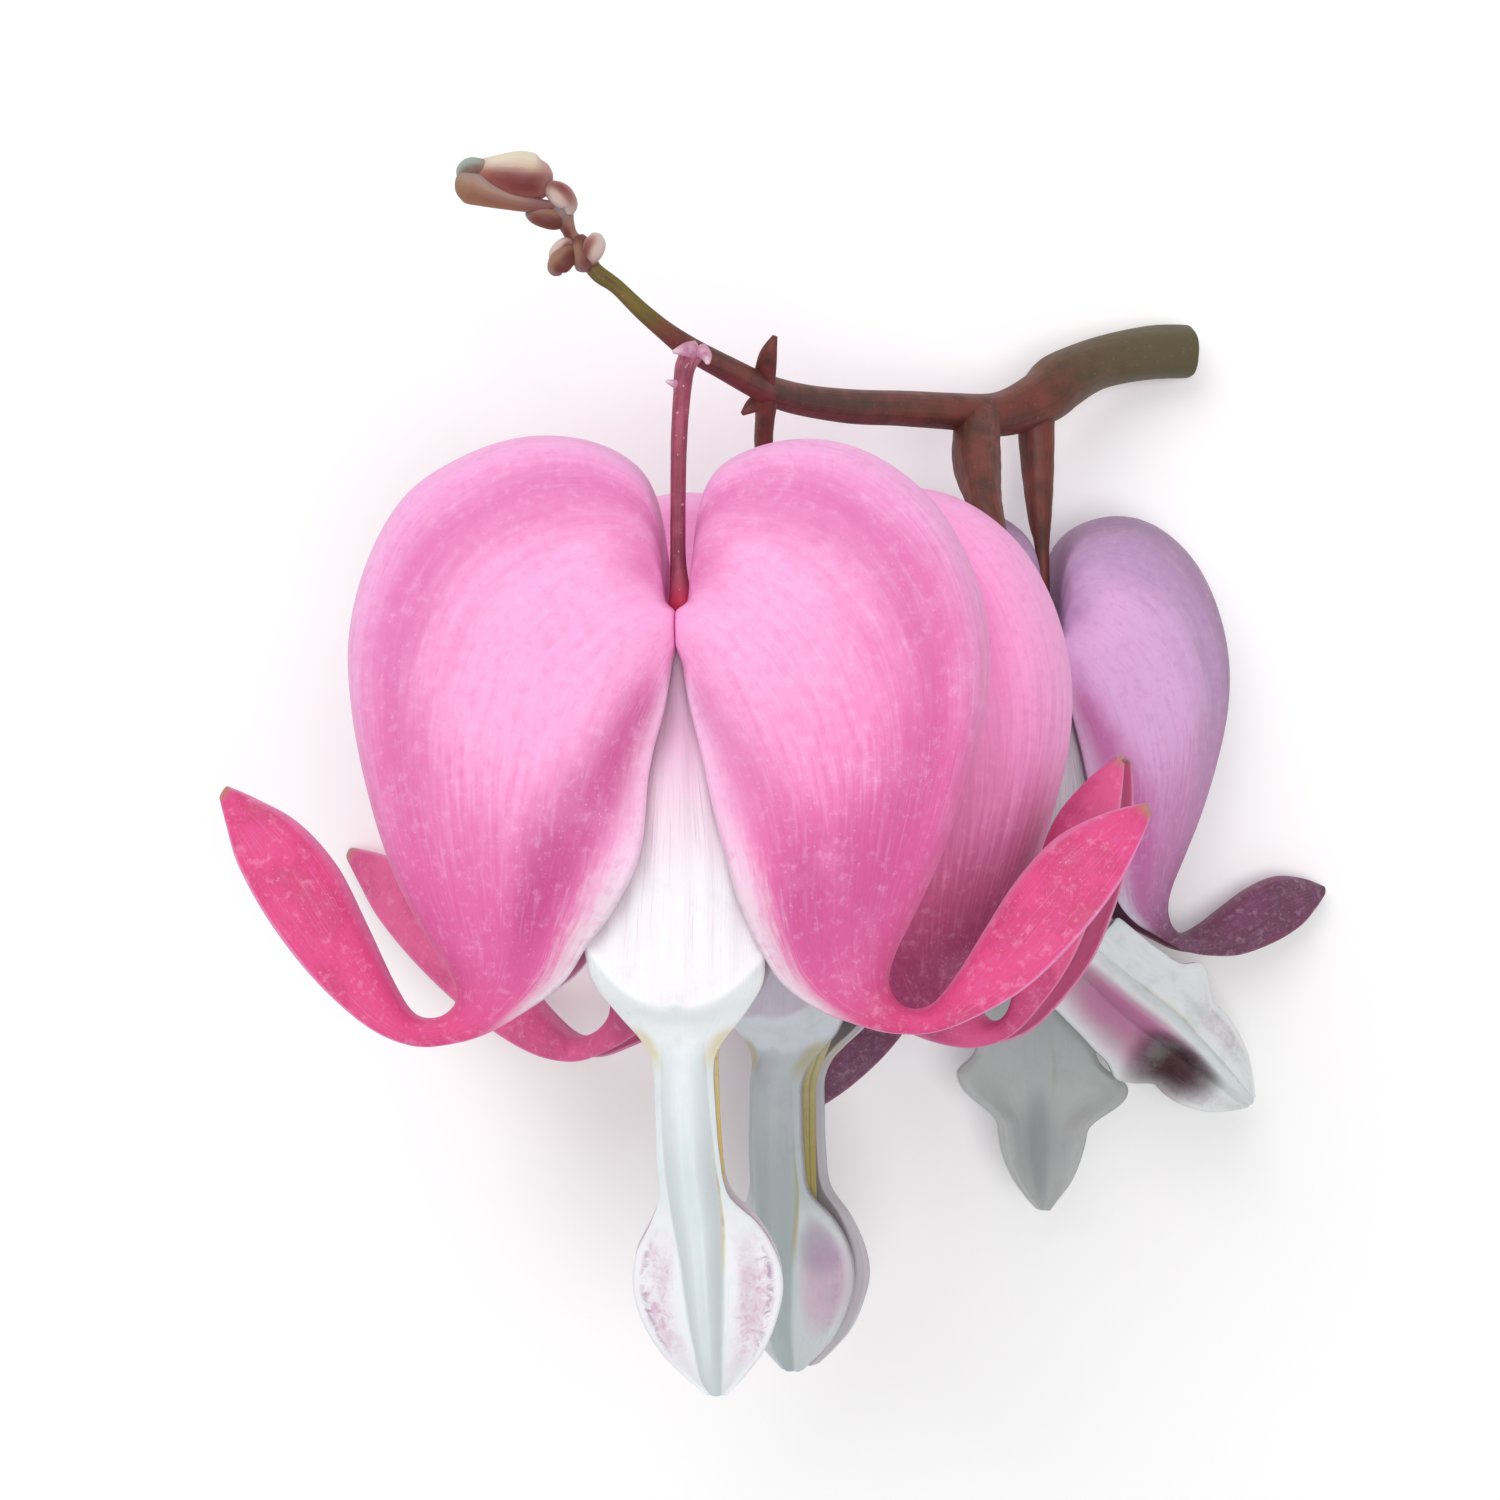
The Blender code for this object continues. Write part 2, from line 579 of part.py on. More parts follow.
# Sets the spray down: centred on the origin, its lowest point on the surface.
def settle():
    objects = list(bpy.context.scene.collection.objects)
    corners = np.array([v.co for obj in objects for v in obj.data.vertices])
    low, high = corners.min(0), corners.max(0)
    shift = np.array([-(low[0] + high[0]) / 2, -(low[1] + high[1]) / 2, -low[2]])
    for obj in objects:
        for vertex in obj.data.vertices:
            vertex.co = (vertex.co.x + shift[0], vertex.co.y + shift[1], vertex.co.z + shift[2])
    print("shift mm", np.round(shift / MM, 4), "size mm", np.round((high - low) / MM, 3))


def main():
    clear_scene()
    for bloom in BLOOMS:
        build_bloom(bloom)
    build_stems()
    settle()


main()
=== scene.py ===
import math
import bpy
import numpy as np
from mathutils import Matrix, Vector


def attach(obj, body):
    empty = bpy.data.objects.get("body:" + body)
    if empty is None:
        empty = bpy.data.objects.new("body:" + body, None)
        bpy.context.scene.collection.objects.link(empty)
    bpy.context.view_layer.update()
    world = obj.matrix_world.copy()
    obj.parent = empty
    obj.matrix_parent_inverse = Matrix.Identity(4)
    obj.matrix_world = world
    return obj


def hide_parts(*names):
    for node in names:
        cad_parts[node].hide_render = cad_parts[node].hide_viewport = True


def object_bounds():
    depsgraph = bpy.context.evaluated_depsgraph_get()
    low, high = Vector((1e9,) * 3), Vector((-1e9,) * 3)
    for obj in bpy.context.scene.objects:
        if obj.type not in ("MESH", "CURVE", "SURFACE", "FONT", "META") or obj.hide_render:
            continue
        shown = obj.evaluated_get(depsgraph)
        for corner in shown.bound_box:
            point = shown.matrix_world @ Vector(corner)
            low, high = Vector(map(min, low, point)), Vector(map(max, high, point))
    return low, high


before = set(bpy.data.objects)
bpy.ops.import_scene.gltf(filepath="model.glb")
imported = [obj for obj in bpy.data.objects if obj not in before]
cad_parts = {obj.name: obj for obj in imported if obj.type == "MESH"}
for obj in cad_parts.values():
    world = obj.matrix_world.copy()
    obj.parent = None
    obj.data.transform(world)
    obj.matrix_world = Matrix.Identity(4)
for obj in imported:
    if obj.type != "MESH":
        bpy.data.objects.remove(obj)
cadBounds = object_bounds()
print("frame loaded:", len(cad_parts), "nodes")

# lengths are millimetres until a mesh is made
mm = 0.001
layout = {
    "eye": 122.0,  # height the photo was taken from
    "viewScale": 2835.0,  # photo pixels to a millimetre seen from one millimetre away
    "sensor": 36,
    "photoWidth": 1500,
    "middle": 750.0,
    "settled": (-2.858, 1.6078, -0.0094),  # how far the model was moved to stand on its origin
}
settled = np.array(layout["settled"])


# camera, light and floor

studio = {  # in metres
    "clip": (0.005, 20),
    "target": (0, 0, 0.01),
    "floor": (0.97, 0.97, 0.97),
    "cloud": (0.95, 0.95, 0.95),  # the floor's second tone
    "reach": 1.5,
    "glow": 0.06,
    "world": 0.46,
    "key": {"at": (-0.14, 0.24, 0.34), "size": 0.36, "power": 0.70},
    "front": {"at": (0.03, -0.05, 0.44), "size": 0.22, "power": 0.72},
}


def aim(light, target):
    away = np.array(light.location) - np.array(target)
    lean = math.atan2(math.hypot(away[0], away[1]), away[2])
    light.rotation_euler = (lean, 0, math.atan2(away[0], -away[1]))


def addCamera():
    data = bpy.data.cameras.new("camera")
    data.sensor_width = layout["sensor"]
    data.lens = layout["viewScale"] * layout["sensor"] / layout["photoWidth"]
    data.clip_start, data.clip_end = studio["clip"]
    camera = bpy.data.objects.new("camera", data)
    camera.location = (settled + (0, 0, layout["eye"])) * mm
    bpy.context.scene.collection.objects.link(camera)
    bpy.context.scene.camera = camera


def addLight(name, setup):
    data = bpy.data.lights.new(name, "AREA")
    data.shape = "DISK"
    data.size = setup["size"]
    data.energy = setup["power"]
    light = bpy.data.objects.new(name, data)
    light.location = setup["at"]
    bpy.context.scene.collection.objects.link(light)
    aim(light, studio["target"])


addCamera()
addLight("keyLight", studio["key"])
addLight("frontLight", studio["front"])
world = bpy.data.worlds.new("softWorld")
bpy.context.scene.world = world
world.use_nodes = True
world.node_tree.nodes["Background"].inputs["Color"].default_value = (1, 1, 1, 1)
world.node_tree.nodes["Background"].inputs["Strength"].default_value = studio["world"]
bpy.context.scene.view_settings.view_transform = "Standard"


# shader helpers

def ink(red, green, blue):  # colour as seen, 0 to 255
    shares = [part / 255 for part in (red, green, blue)]
    return tuple(s / 12.92 if s <= 0.0404 else ((s + 0.055) / 1.055) ** 2.4 for s in shares) + (1,)


class Wire:  # one output of a node, so that shader maths reads as an expression
    def __init__(self, look, socket):
        self.look = look
        self.socket = socket

    def maths(self, operation, a, b=0.0):
        return self.look.node("ShaderNodeMath", {"operation": operation}, {0: a, 1: b})

    def __add__(self, other):
        return self.maths("ADD", self, other)

    def __radd__(self, other):
        return self.maths("ADD", other, self)

    def __sub__(self, other):
        return self.maths("SUBTRACT", self, other)

    def __rsub__(self, other):
        return self.maths("SUBTRACT", other, self)

    def __mul__(self, other):
        return self.maths("MULTIPLY", self, other)

    def __rmul__(self, other):
        return self.maths("MULTIPLY", other, self)

    def __pow__(self, other):
        return self.maths("POWER", self, other)

    def __abs__(self):
        return self.maths("ABSOLUTE", self)


skin = {
    "bleed": (1.0, 0.45, 0.55),  # how far red, green and blue spread under the surface, of the reach
    "reach": 0.0007,
    "gleam": 0.35,
}


class Look:  # a material being painted
    def __init__(self, name):
        self.material = bpy.data.materials.new(name)
        self.material.use_nodes = True
        self.tree = self.material.node_tree
        self.surface = self.tree.nodes["Principled BSDF"]

    def node(self, kind, settings=None, inputs=None, output=0):
        made = self.tree.nodes.new(kind)
        for key, value in (settings or {}).items():
            setattr(made, key, value)
        for key, value in (inputs or {}).items():
            self.plug(made.inputs[key], value)
        return Wire(self, made.outputs[output])

    def plug(self, socket, value):
        if isinstance(value, Wire):
            self.tree.links.new(value.socket, socket)
        else:
            socket.default_value = value

    def measure(self, name):  # a number kept on each point of the mesh
        return self.node("ShaderNodeAttribute", {"attribute_name": name}, output=2)

    def place(self):
        return self.node("ShaderNodeTexCoord", output=3)

    def vector(self, x, y, z):
        return self.node("ShaderNodeCombineXYZ", inputs={0: x, 1: y, 2: z})

    def noise(self, vector, scale=1.0, detail=3.0, rough=0.55, distort=0.0):
        values = {"Vector": vector, "Scale": scale, "Detail": detail}
        values.update({"Roughness": rough, "Distortion": distort})
        return self.node("ShaderNodeTexNoise", {"noise_dimensions": "3D"}, values)

    def step(self, value, low, high):  # eases from 0 at low to 1 at high
        inputs = {"Value": value, "From Min": low, "From Max": high}
        return self.node("ShaderNodeMapRange", {"interpolation_type": "SMOOTHSTEP"}, inputs)

    def window(self, value, low, high, soft):
        return self.step(value, low - soft, low + soft) * self.step(value, high + soft, high - soft)

    def mix(self, a, b, factor):
        return self.node("ShaderNodeMix", {"data_type": "RGBA"}, {0: factor, 6: a, 7: b}, output=2)

    def finish(self, colour, roughness, height=None, depth=0.02, soft=0.0):
        self.plug(self.surface.inputs["Base Color"], colour)
        self.plug(self.surface.inputs["Roughness"], roughness)
        self.surface.inputs["Subsurface Weight"].default_value = soft
        self.surface.inputs["Subsurface Radius"].default_value = skin["bleed"]
        self.surface.inputs["Subsurface Scale"].default_value = skin["reach"]
        self.surface.inputs["Specular IOR Level"].default_value = skin["gleam"]
        if height is not None:
            relief = {"Strength": 1.0, "Distance": depth * mm, "Height": height}
            self.plug(self.surface.inputs["Normal"], self.node("ShaderNodeBump", inputs=relief))
        return self.material


# shape helpers

def smooth(rows, places):  # an even curve through rows of numbers
    rows = np.asarray(rows, float)
    last = len(rows) - 1
    places = np.clip(np.asarray(places, float), 0, last)
    row = np.minimum(places.astype(int), last - 1)
    share = (places - row)[:, None]
    before, here = rows[np.maximum(row - 1, 0)], rows[row]
    after, beyond = rows[row + 1], rows[np.minimum(row + 2, last)]
    rise = (after - before) * share
    bend = (2 * before - 5 * here + 4 * after - beyond) * share**2
    twist = (3 * here - before - 3 * after + beyond) * share**3
    return 0.5 * (2 * here + rise + bend + twist)


def ease(value):
    value = np.clip(value, 0.0, 1.0)
    return value * value * (3 - 2 * value)


def bell(value, middle, width):
    return np.exp(-(((value - middle) / width) ** 2))


def ridge(value, shape):  # a rounded ridge of a place, a width and a height
    place, width, height = shape
    return height * bell(value, place, width)


def seen(across, down, height):  # a point of the photo at a height above the floor
    perReading = (layout["eye"] - height) / layout["viewScale"]
    middle = layout["middle"]
    return np.array([(across - middle) * perReading, (middle - down) * perReading, height])


def addMesh(name, points, faces, material, measures):  # kept within the box of the solids
    mesh = bpy.data.meshes.new(name)
    inside = np.clip((points + settled) * mm, np.array(cadBounds[0]), np.array(cadBounds[1]))
    mesh.from_pydata(inside.tolist(), [], faces)
    mesh.polygons.foreach_set("use_smooth", [True] * len(mesh.polygons))
    for key, values in measures.items():
        kept = mesh.attributes.new(key, "FLOAT", "POINT")
        kept.data.foreach_set("value", np.asarray(values, np.float32).ravel())
    mesh.materials.append(material)
    piece = bpy.data.objects.new(name, mesh)
    bpy.context.scene.collection.objects.link(piece)
    return piece


def facingOut(points, faces):
    first = np.array([face[:3] for face in faces])
    corners = points[first]
    volume = np.einsum("ij,ij->i", corners[:, 0], np.cross(corners[:, 1], corners[:, 2])).sum()
    return faces if volume > 0 else [face[::-1] for face in faces]


def addSheet(name, outer, inner, material, measures):  # two skins joined round their edge
    rows, columns = outer.shape[:2]
    index = np.arange(rows * columns).reshape(rows, columns)
    under = index + rows * columns
    top = np.stack([index[:-1, :-1], index[:-1, 1:], index[1:, 1:], index[1:, :-1]], -1).reshape(-1, 4)
    low = np.stack([under[1:, :-1], under[1:, 1:], under[:-1, 1:], under[:-1, :-1]], -1).reshape(-1, 4)
    rim = np.concatenate([index[0, :], index[1:, -1], index[-1, -2::-1], index[-2:0:-1, 0]])
    after = np.roll(rim, -1)
    band = np.stack([after, rim, rim + rows * columns, after + rows * columns], -1)
    points = np.concatenate([outer.reshape(-1, 3), inner.reshape(-1, 3)])
    faces = facingOut(points, np.concatenate([top, low, band]).tolist())
    doubled = {key: np.concatenate([values.ravel(), values.ravel()]) for key, values in measures.items()}
    doubled["wall"] = np.repeat([0.0, 1.0], rows * columns)
    return addMesh(name, points, faces, material, doubled)


def addTube(name, centres, radii, sides, material, depth=1.0, ripple=None):
    along = np.gradient(centres, axis=0)
    along /= np.linalg.norm(along, axis=1)[:, None]
    side = np.cross(along, (0, 0, 1))
    side /= np.linalg.norm(side, axis=1)[:, None]
    up = np.cross(side, along)
    angles = np.arange(sides) * 2 * math.pi / sides
    run = np.linspace(0, 1, len(centres))
    swell = ripple(run[:, None], angles[None, :]) if ripple else np.ones((len(centres), sides))
    across = radii[:, None] * swell * np.cos(angles)
    over = radii[:, None] * swell * np.sin(angles) * depth
    rings = centres[:, None] + across[..., None] * side[:, None] + over[..., None] * up[:, None]
    index = np.arange(len(centres) * sides).reshape(-1, sides)
    turned = np.roll(index, -1, axis=1)
    faces = np.stack([index[:-1], turned[:-1], turned[1:], index[1:]], -1).reshape(-1, 4).tolist()
    count = index.size
    faces += [(b, a, count) for a, b in zip(index[0], turned[0])]
    faces += [(a, b, count + 1) for a, b in zip(index[-1], turned[-1])]
    points = np.concatenate([rings.reshape(-1, 3), centres[:1], centres[-1:]])
    measures = {
        "run": np.append(np.repeat(run, sides), [0, 1]),
        "turn": np.append(np.tile(np.sin(angles), len(run)), [0, 0]),
        "flank": np.append(np.tile(np.cos(angles), len(run)), [0, 0]),
    }
    return addMesh(name, points, facingOut(points, faces), material, measures)


def settle(piece, node):
    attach(piece, "root")
    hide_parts(node)


# outer petals: each a pouch that narrows to a neck and curls back into a pointed blade

outerPetal = {
    "wall": 0.6, "tipShare": 0.78,  # thickness, and the most of the half depth that it takes
    "fold": 2.03, "fullness": 0.8,  # radians that a half turns through from keel to margin
    "neck": 15, "curlRows": 4.0,  # station where the curl starts, and how many it takes
    # place across a half, width, height or depth
    "rim": (0.20, 0.09, 0.12), "channel": (0.37, 0.10, 0.28),
    "gully": (0.65, 0.075, 0.42), "shelf": (0.78, 0.08, 0.10),  # below the notch
    "crease": {"at": 0.96, "drift": 0.021, "from": 4, "width": 0.06, "depth": 0.26},  # turn in to the slit
    "ribs": {"count": 46, "height": 0.012},
    "press": 0.42, "closed": {"left": 0.42, "right": -0.20},  # the margins beside the slit
    "grain": {"broad": 9, "streak": 42, "hair": 150, "cloud": 420, "dust": 2400, "speck": 8200},
    # how strongly each style paints the shadow beside the slit and the broad shade low on the lobe, and the
    # rows where the deeper low colour comes in
    "shading": {
        "creased": {"crease": 0.85, "dusk": 0.25, "lowFrom": 8.0, "lowTo": 13.0},
        "broadlyShaded": {"crease": 0.35, "dusk": 0.60, "lowFrom": 5.5, "lowTo": 12.0},
    },
    # keel x, y, front margin x, y, half depth
    "left": (
        (-0.25, -0.45, -0.17, -0.90, 0.45), (-0.66, 0.90, -0.18, -1.20, 1.15),
        (-0.68, 3.20, -0.20, -1.80, 2.10), (-1.35, 5.05, -0.30, -2.60, 2.75),
        (-3.00, 6.08, -0.50, -3.50, 3.20), (-5.20, 6.33, -0.85, -4.70, 3.50),
        (-7.40, 5.77, -1.15, -5.90, 3.65), (-9.64, 4.38, -1.32, -7.00, 3.70),
        (-11.05, 2.12, -1.45, -7.90, 3.70), (-11.76, -0.60, -1.62, -8.80, 3.65),
        (-11.68, -3.30, -1.95, -9.70, 3.50), (-11.12, -6.20, -2.40, -10.60, 3.20),
        (-10.28, -8.90, -3.05, -11.50, 2.80), (-9.20, -11.10, -3.90, -12.80, 2.20),
        (-8.25, -12.60, -5.20, -13.80, 1.65), (-7.98, -13.60, -6.60, -14.65, 1.25),
        (-8.60, -14.22, -7.90, -15.08, 1.05), (-9.50, -14.15, -9.40, -15.18, 1.00),
        (-10.20, -13.15, -11.00, -14.50, 1.10), (-11.20, -11.05, -12.80, -12.90, 1.22),
        (-12.30, -8.90, -14.40, -10.90, 1.22), (-13.70, -7.35, -15.60, -8.90, 1.00),
        (-15.20, -6.50, -16.15, -7.40, 0.65), (-16.25, -6.05, -16.45, -6.45, 0.40),
    ),
    "right": (
        (0.25, -0.45, 0.16, -0.90, 0.45), (0.60, 0.90, 0.17, -1.20, 1.15),
        (0.60, 3.10, 0.30, -1.80, 2.10), (1.15, 4.90, 0.45, -2.60, 2.75),
        (2.60, 5.85, 0.62, -3.50, 3.20), (4.70, 6.15, 0.88, -4.80, 3.50),
        (6.80, 5.58, 1.05, -5.90, 3.65), (8.75, 4.10, 1.25, -7.00, 3.70),
        (10.10, 1.95, 1.48, -7.90, 3.70), (10.80, -0.60, 1.75, -8.80, 3.65),
        (10.75, -3.20, 2.05, -9.70, 3.50), (10.10, -5.90, 2.45, -10.65, 3.20),
        (9.25, -8.30, 2.95, -11.65, 2.80), (8.35, -10.30, 3.70, -12.85, 2.20),
        (7.55, -11.95, 4.90, -13.75, 1.65), (7.35, -13.00, 6.20, -14.30, 1.25),
        (7.85, -13.75, 7.50, -14.62, 1.05), (8.75, -13.72, 8.90, -14.58, 1.00),
        (9.65, -12.70, 10.40, -14.00, 1.10), (10.70, -11.00, 12.20, -12.90, 1.22),
        (11.80, -9.30, 14.00, -11.10, 1.22), (13.20, -7.80, 15.30, -9.40, 1.00),
        (14.90, -6.95, 16.05, -7.95, 0.65), (16.30, -6.60, 16.45, -7.00, 0.40),
    ),
}


def curled(stations, turn, stretch, drop):  # bends what lies beyond the neck, in degrees
    rows = np.asarray(stations, float)
    keel, margin = rows[:, :2], rows[:, 2:4]
    middle, half = (keel + margin) / 2, (keel - margin) / 2
    share = ease((np.arange(len(rows)) - outerPetal["neck"] + 1) / outerPetal["curlRows"])
    angles = np.radians(turn) * share
    path, height = [middle[0]], [0.0]
    for i in range(1, len(rows)):
        step = (middle[i] - middle[i - 1]) * (1 + (stretch - 1) * share[i])
        cosine, sine = math.cos(angles[i]), math.sin(angles[i])
        path.append(path[-1] + (cosine * step[0] - sine * step[1], sine * step[0] + cosine * step[1]))
        height.append(height[-1] + drop * share[i] * float(np.hypot(*step)))
    path = np.array(path)
    cosine, sine = np.cos(angles), np.sin(angles)
    turned = np.stack([cosine * half[:, 0] - sine * half[:, 1], sine * half[:, 0] + cosine * half[:, 1]], 1)
    return np.column_stack([path + turned, path - turned, rows[:, 4], height])


def outerPetalWalls(stations, side, rows, columns):
    places = np.linspace(0, len(stations) - 1, rows)
    across = np.linspace(-1, 1, columns)[None, :]
    fold = np.abs(across)
    at = places[:, None]
    table = smooth(stations, places)
    keel, margin = table[:, None, :2], table[:, None, 2:4]
    depth, lift = table[:, None, 4], table[:, None, 5]
    turn = fold * outerPetal["fold"]
    reach = (1 - np.cos(turn)) / (1 - math.cos(outerPetal["fold"]))
    pouch = ease(at / 3) * ease((outerPetal["neck"] - 2 - at) / 4)
    crease, ribs = outerPetal["crease"], outerPetal["ribs"]
    depths = depth * np.sin(turn) ** outerPetal["fullness"]
    depths = depths + pouch * (ridge(fold, outerPetal["rim"]) - ridge(fold, outerPetal["channel"]))
    turnIn = bell(fold - crease["at"] + crease["drift"] * (at - crease["from"]), 0.0, crease["width"])
    depths = depths - crease["depth"] * turnIn * ease((at - 3) / 1.5) * ease((13.5 - at) / 3)
    depths = depths - ridge(fold, outerPetal["gully"]) * bell(at, 2.9, 1.1)
    depths = depths + ridge(fold, outerPetal["shelf"]) * bell(at, 2.6, 1.2)
    depths = depths + ribs["height"] * depth * np.sin(fold * ribs["count"] + at * 0.7) * pouch * fold
    depths = depths - outerPetal["press"] * ease((fold - 0.78) / 0.22) * bell(at, 6.5, 3.6)
    flat = keel + (margin - keel) * reach[..., None]
    inwardSide = {"left": 1, "right": -1}[side]
    inward = inwardSide * ease((fold - 0.55) / 0.45)
    closed = 0.10 * ease((6 - at) / 3) + outerPetal["closed"][side] * bell(at, 7.9, 2.9)
    flat[..., 0] += inward * closed
    flat[..., 1] += 0.5 * ease((fold - 0.6) / 0.4) * bell(at, 0.5, 1.2)
    down = flat[..., 1]
    meet = ease((fold - 0.52) / 0.14) * ease((3.6 - at) / 1.4)  # the faces close over the end of the stalk
    meet = meet * ease((0.42 - down) / 0.45) * ease((down + 1.95) / 0.9)
    flat[..., 0] += meet * (-0.008 * inwardSide - flat[..., 0])
    outer = np.dstack([flat, np.sign(across) * depths + lift])
    normal = np.cross(np.gradient(outer, axis=0), np.gradient(outer, axis=1))
    normal /= np.maximum(np.linalg.norm(normal, axis=2), 1e-9)[..., None]
    row, column = rows // 3, columns // 2
    if normal[row, column, 0] * outer[row, column, 0] > 0:  # the wall grows inward
        normal = -normal
    thick = np.minimum(outerPetal["wall"], outerPetal["tipShare"] * depth)
    thick = thick * (1 - 0.55 * ease((fold - 0.86) / 0.14))
    grid = outer.shape[:2]
    measures = {"run": np.broadcast_to(at, grid), "across": np.broadcast_to(across, grid)}
    return outer, outer + normal * thick[..., None], measures


def outerPetalLook(name, tint, shading):
    look = Look(name)
    run, across, wall = look.measure("run"), look.measure("across"), look.measure("wall")
    fold, scales, crease = abs(across), outerPetal["grain"], outerPetal["crease"]
    broad = look.noise(look.vector(across * scales["broad"], run * 0.22, wall * 5), 1.6, 3, 0.55)
    streak = look.noise(look.vector(across * scales["streak"], run * 0.42, wall * 5), 1.4, 4, 0.62)
    hair = look.noise(look.vector(across * scales["hair"], run * 1.1, wall * 5), 1.0, 3, 0.6)
    cloud = look.noise(look.place(), scales["cloud"], 4, 0.6)
    speck = look.noise(look.place(), scales["speck"], 2, 0.5)
    dust = look.noise(look.place(), scales["dust"], 4, 0.65)
    # the pink tint paints light and shade into these bands: lighter on the rolled rim and on the bulging
    # face, darker in the channel between them
    colour = look.mix(tint["rim"], tint["channel"], look.step(fold + (broad - 0.5) * 0.12, 0.18, 0.36))
    colour = look.mix(colour, tint["face"], look.step(fold + (broad - 0.5) * 0.2, 0.36, 0.58))
    lower = look.step(run + (streak - 0.5) * 3.0 + (fold - 0.5) * 1.5, shading["lowFrom"], shading["lowTo"])
    colour = look.mix(colour, tint["low"], lower * 0.85)
    neck = look.window(run + (streak - 0.5) * 2.0, 13.0, 18.0, 1.6)
    colour = look.mix(colour, tint["neck"], neck * tint["necked"])
    # painted shade in the gully below the notch, in the channel colour
    gully = look.window(fold, 0.50, 0.66, 0.05) * look.window(run + (streak - 0.5) * 0.8, 1.4, 4.0, 0.9)
    colour = look.mix(colour, tint["channel"], gully * 0.8)
    turned = fold + run * crease["drift"] - (crease["at"] + crease["drift"] * crease["from"])
    shadow = look.step(turned + (broad - 0.5) * 0.08, -0.12, 0.0) * look.step(turned, 0.13, 0.02)
    colour = look.mix(colour, tint["crease"], shadow * look.window(run, 3.8, 12.8, 1.3) * shading["crease"])
    # painted shade: a broad darkening low on the lobe, in the crease colour
    dusk = look.window(fold, 0.45, 0.92, 0.12) * look.window(run + (streak - 0.5) * 1.5, 10.0, 12.8, 1.6)
    colour = look.mix(colour, tint["crease"], dusk * shading["dusk"])
    margin = look.step(fold + (streak - 0.5) * 0.06, 0.90, 0.985) * look.window(run, 1.2, 11.0, 0.8)
    colour = look.mix(colour, tint["margin"], margin * 0.6)
    ragged = fold + look.step(run, 4.0, 12.5) * 0.14 + (streak - 0.5) * 0.16 + (hair - 0.5) * 0.10
    colour = look.mix(colour, tint["pale"], look.step(ragged, 1.0, 1.13) * look.step(run, 15.6, 14.0))
    blade = look.step(run + (streak - 0.5) * 1.2, 13.6, 16.2)
    colour = look.mix(colour, look.mix(tint["blade"], tint["bladeDeep"], look.step(cloud, 0.42, 0.66)), blade)
    edge = look.step(fold + (streak - 0.5) * 0.12, 0.30, 0.02) * look.window(run, 16.5, 23.5, 1.2)
    colour = look.mix(colour, tint["bladeEdge"], edge * 0.75)
    lip = look.step(fold, 0.955, 0.995) * look.step(run, 13.5, 16)
    colour = look.mix(colour, tint["bladeEdge"], lip * 0.8)
    colour = look.mix(colour, tint["vein"], look.step(streak, 0.48, 0.72) * 0.17)
    colour = look.mix(colour, tint["gleam"], look.step(streak, 0.48, 0.26) * 0.18)
    colour = look.mix(colour, tint["vein"], look.step(hair, 0.52, 0.70) * 0.12)
    colour = look.mix(colour, tint["gleam"], look.step(cloud, 0.50, 0.74) * 0.15)
    flecks = look.step(speck, 0.62, 0.70) * look.step(cloud + hair, 0.96, 1.12)
    colour = look.mix(colour, tint["gleam"], flecks * 0.3)
    colour = look.mix(colour, tint["vein"], look.step(dust, 0.50, 0.68) * 0.20)
    colour = look.mix(colour, tint["gleam"], look.step(dust, 0.48, 0.30) * 0.22)
    colour = look.mix(colour, tint["tip"], look.step(run + cloud * 0.5, 22.7, 23.3))
    inside = look.mix(tint["inside"], tint["insideDeep"], look.step(run, 11, 16))
    colour = look.mix(colour, inside, look.step(wall, 0.4, 0.6))
    height = streak * 0.5 + hair * 0.25 + cloud * 0.35 + dust * 0.35
    return look.finish(colour, 0.44 + streak * 0.16, height, 0.05, 0.3)


# inner petals: a bell, a narrow claw and a winged blade with a standing crest

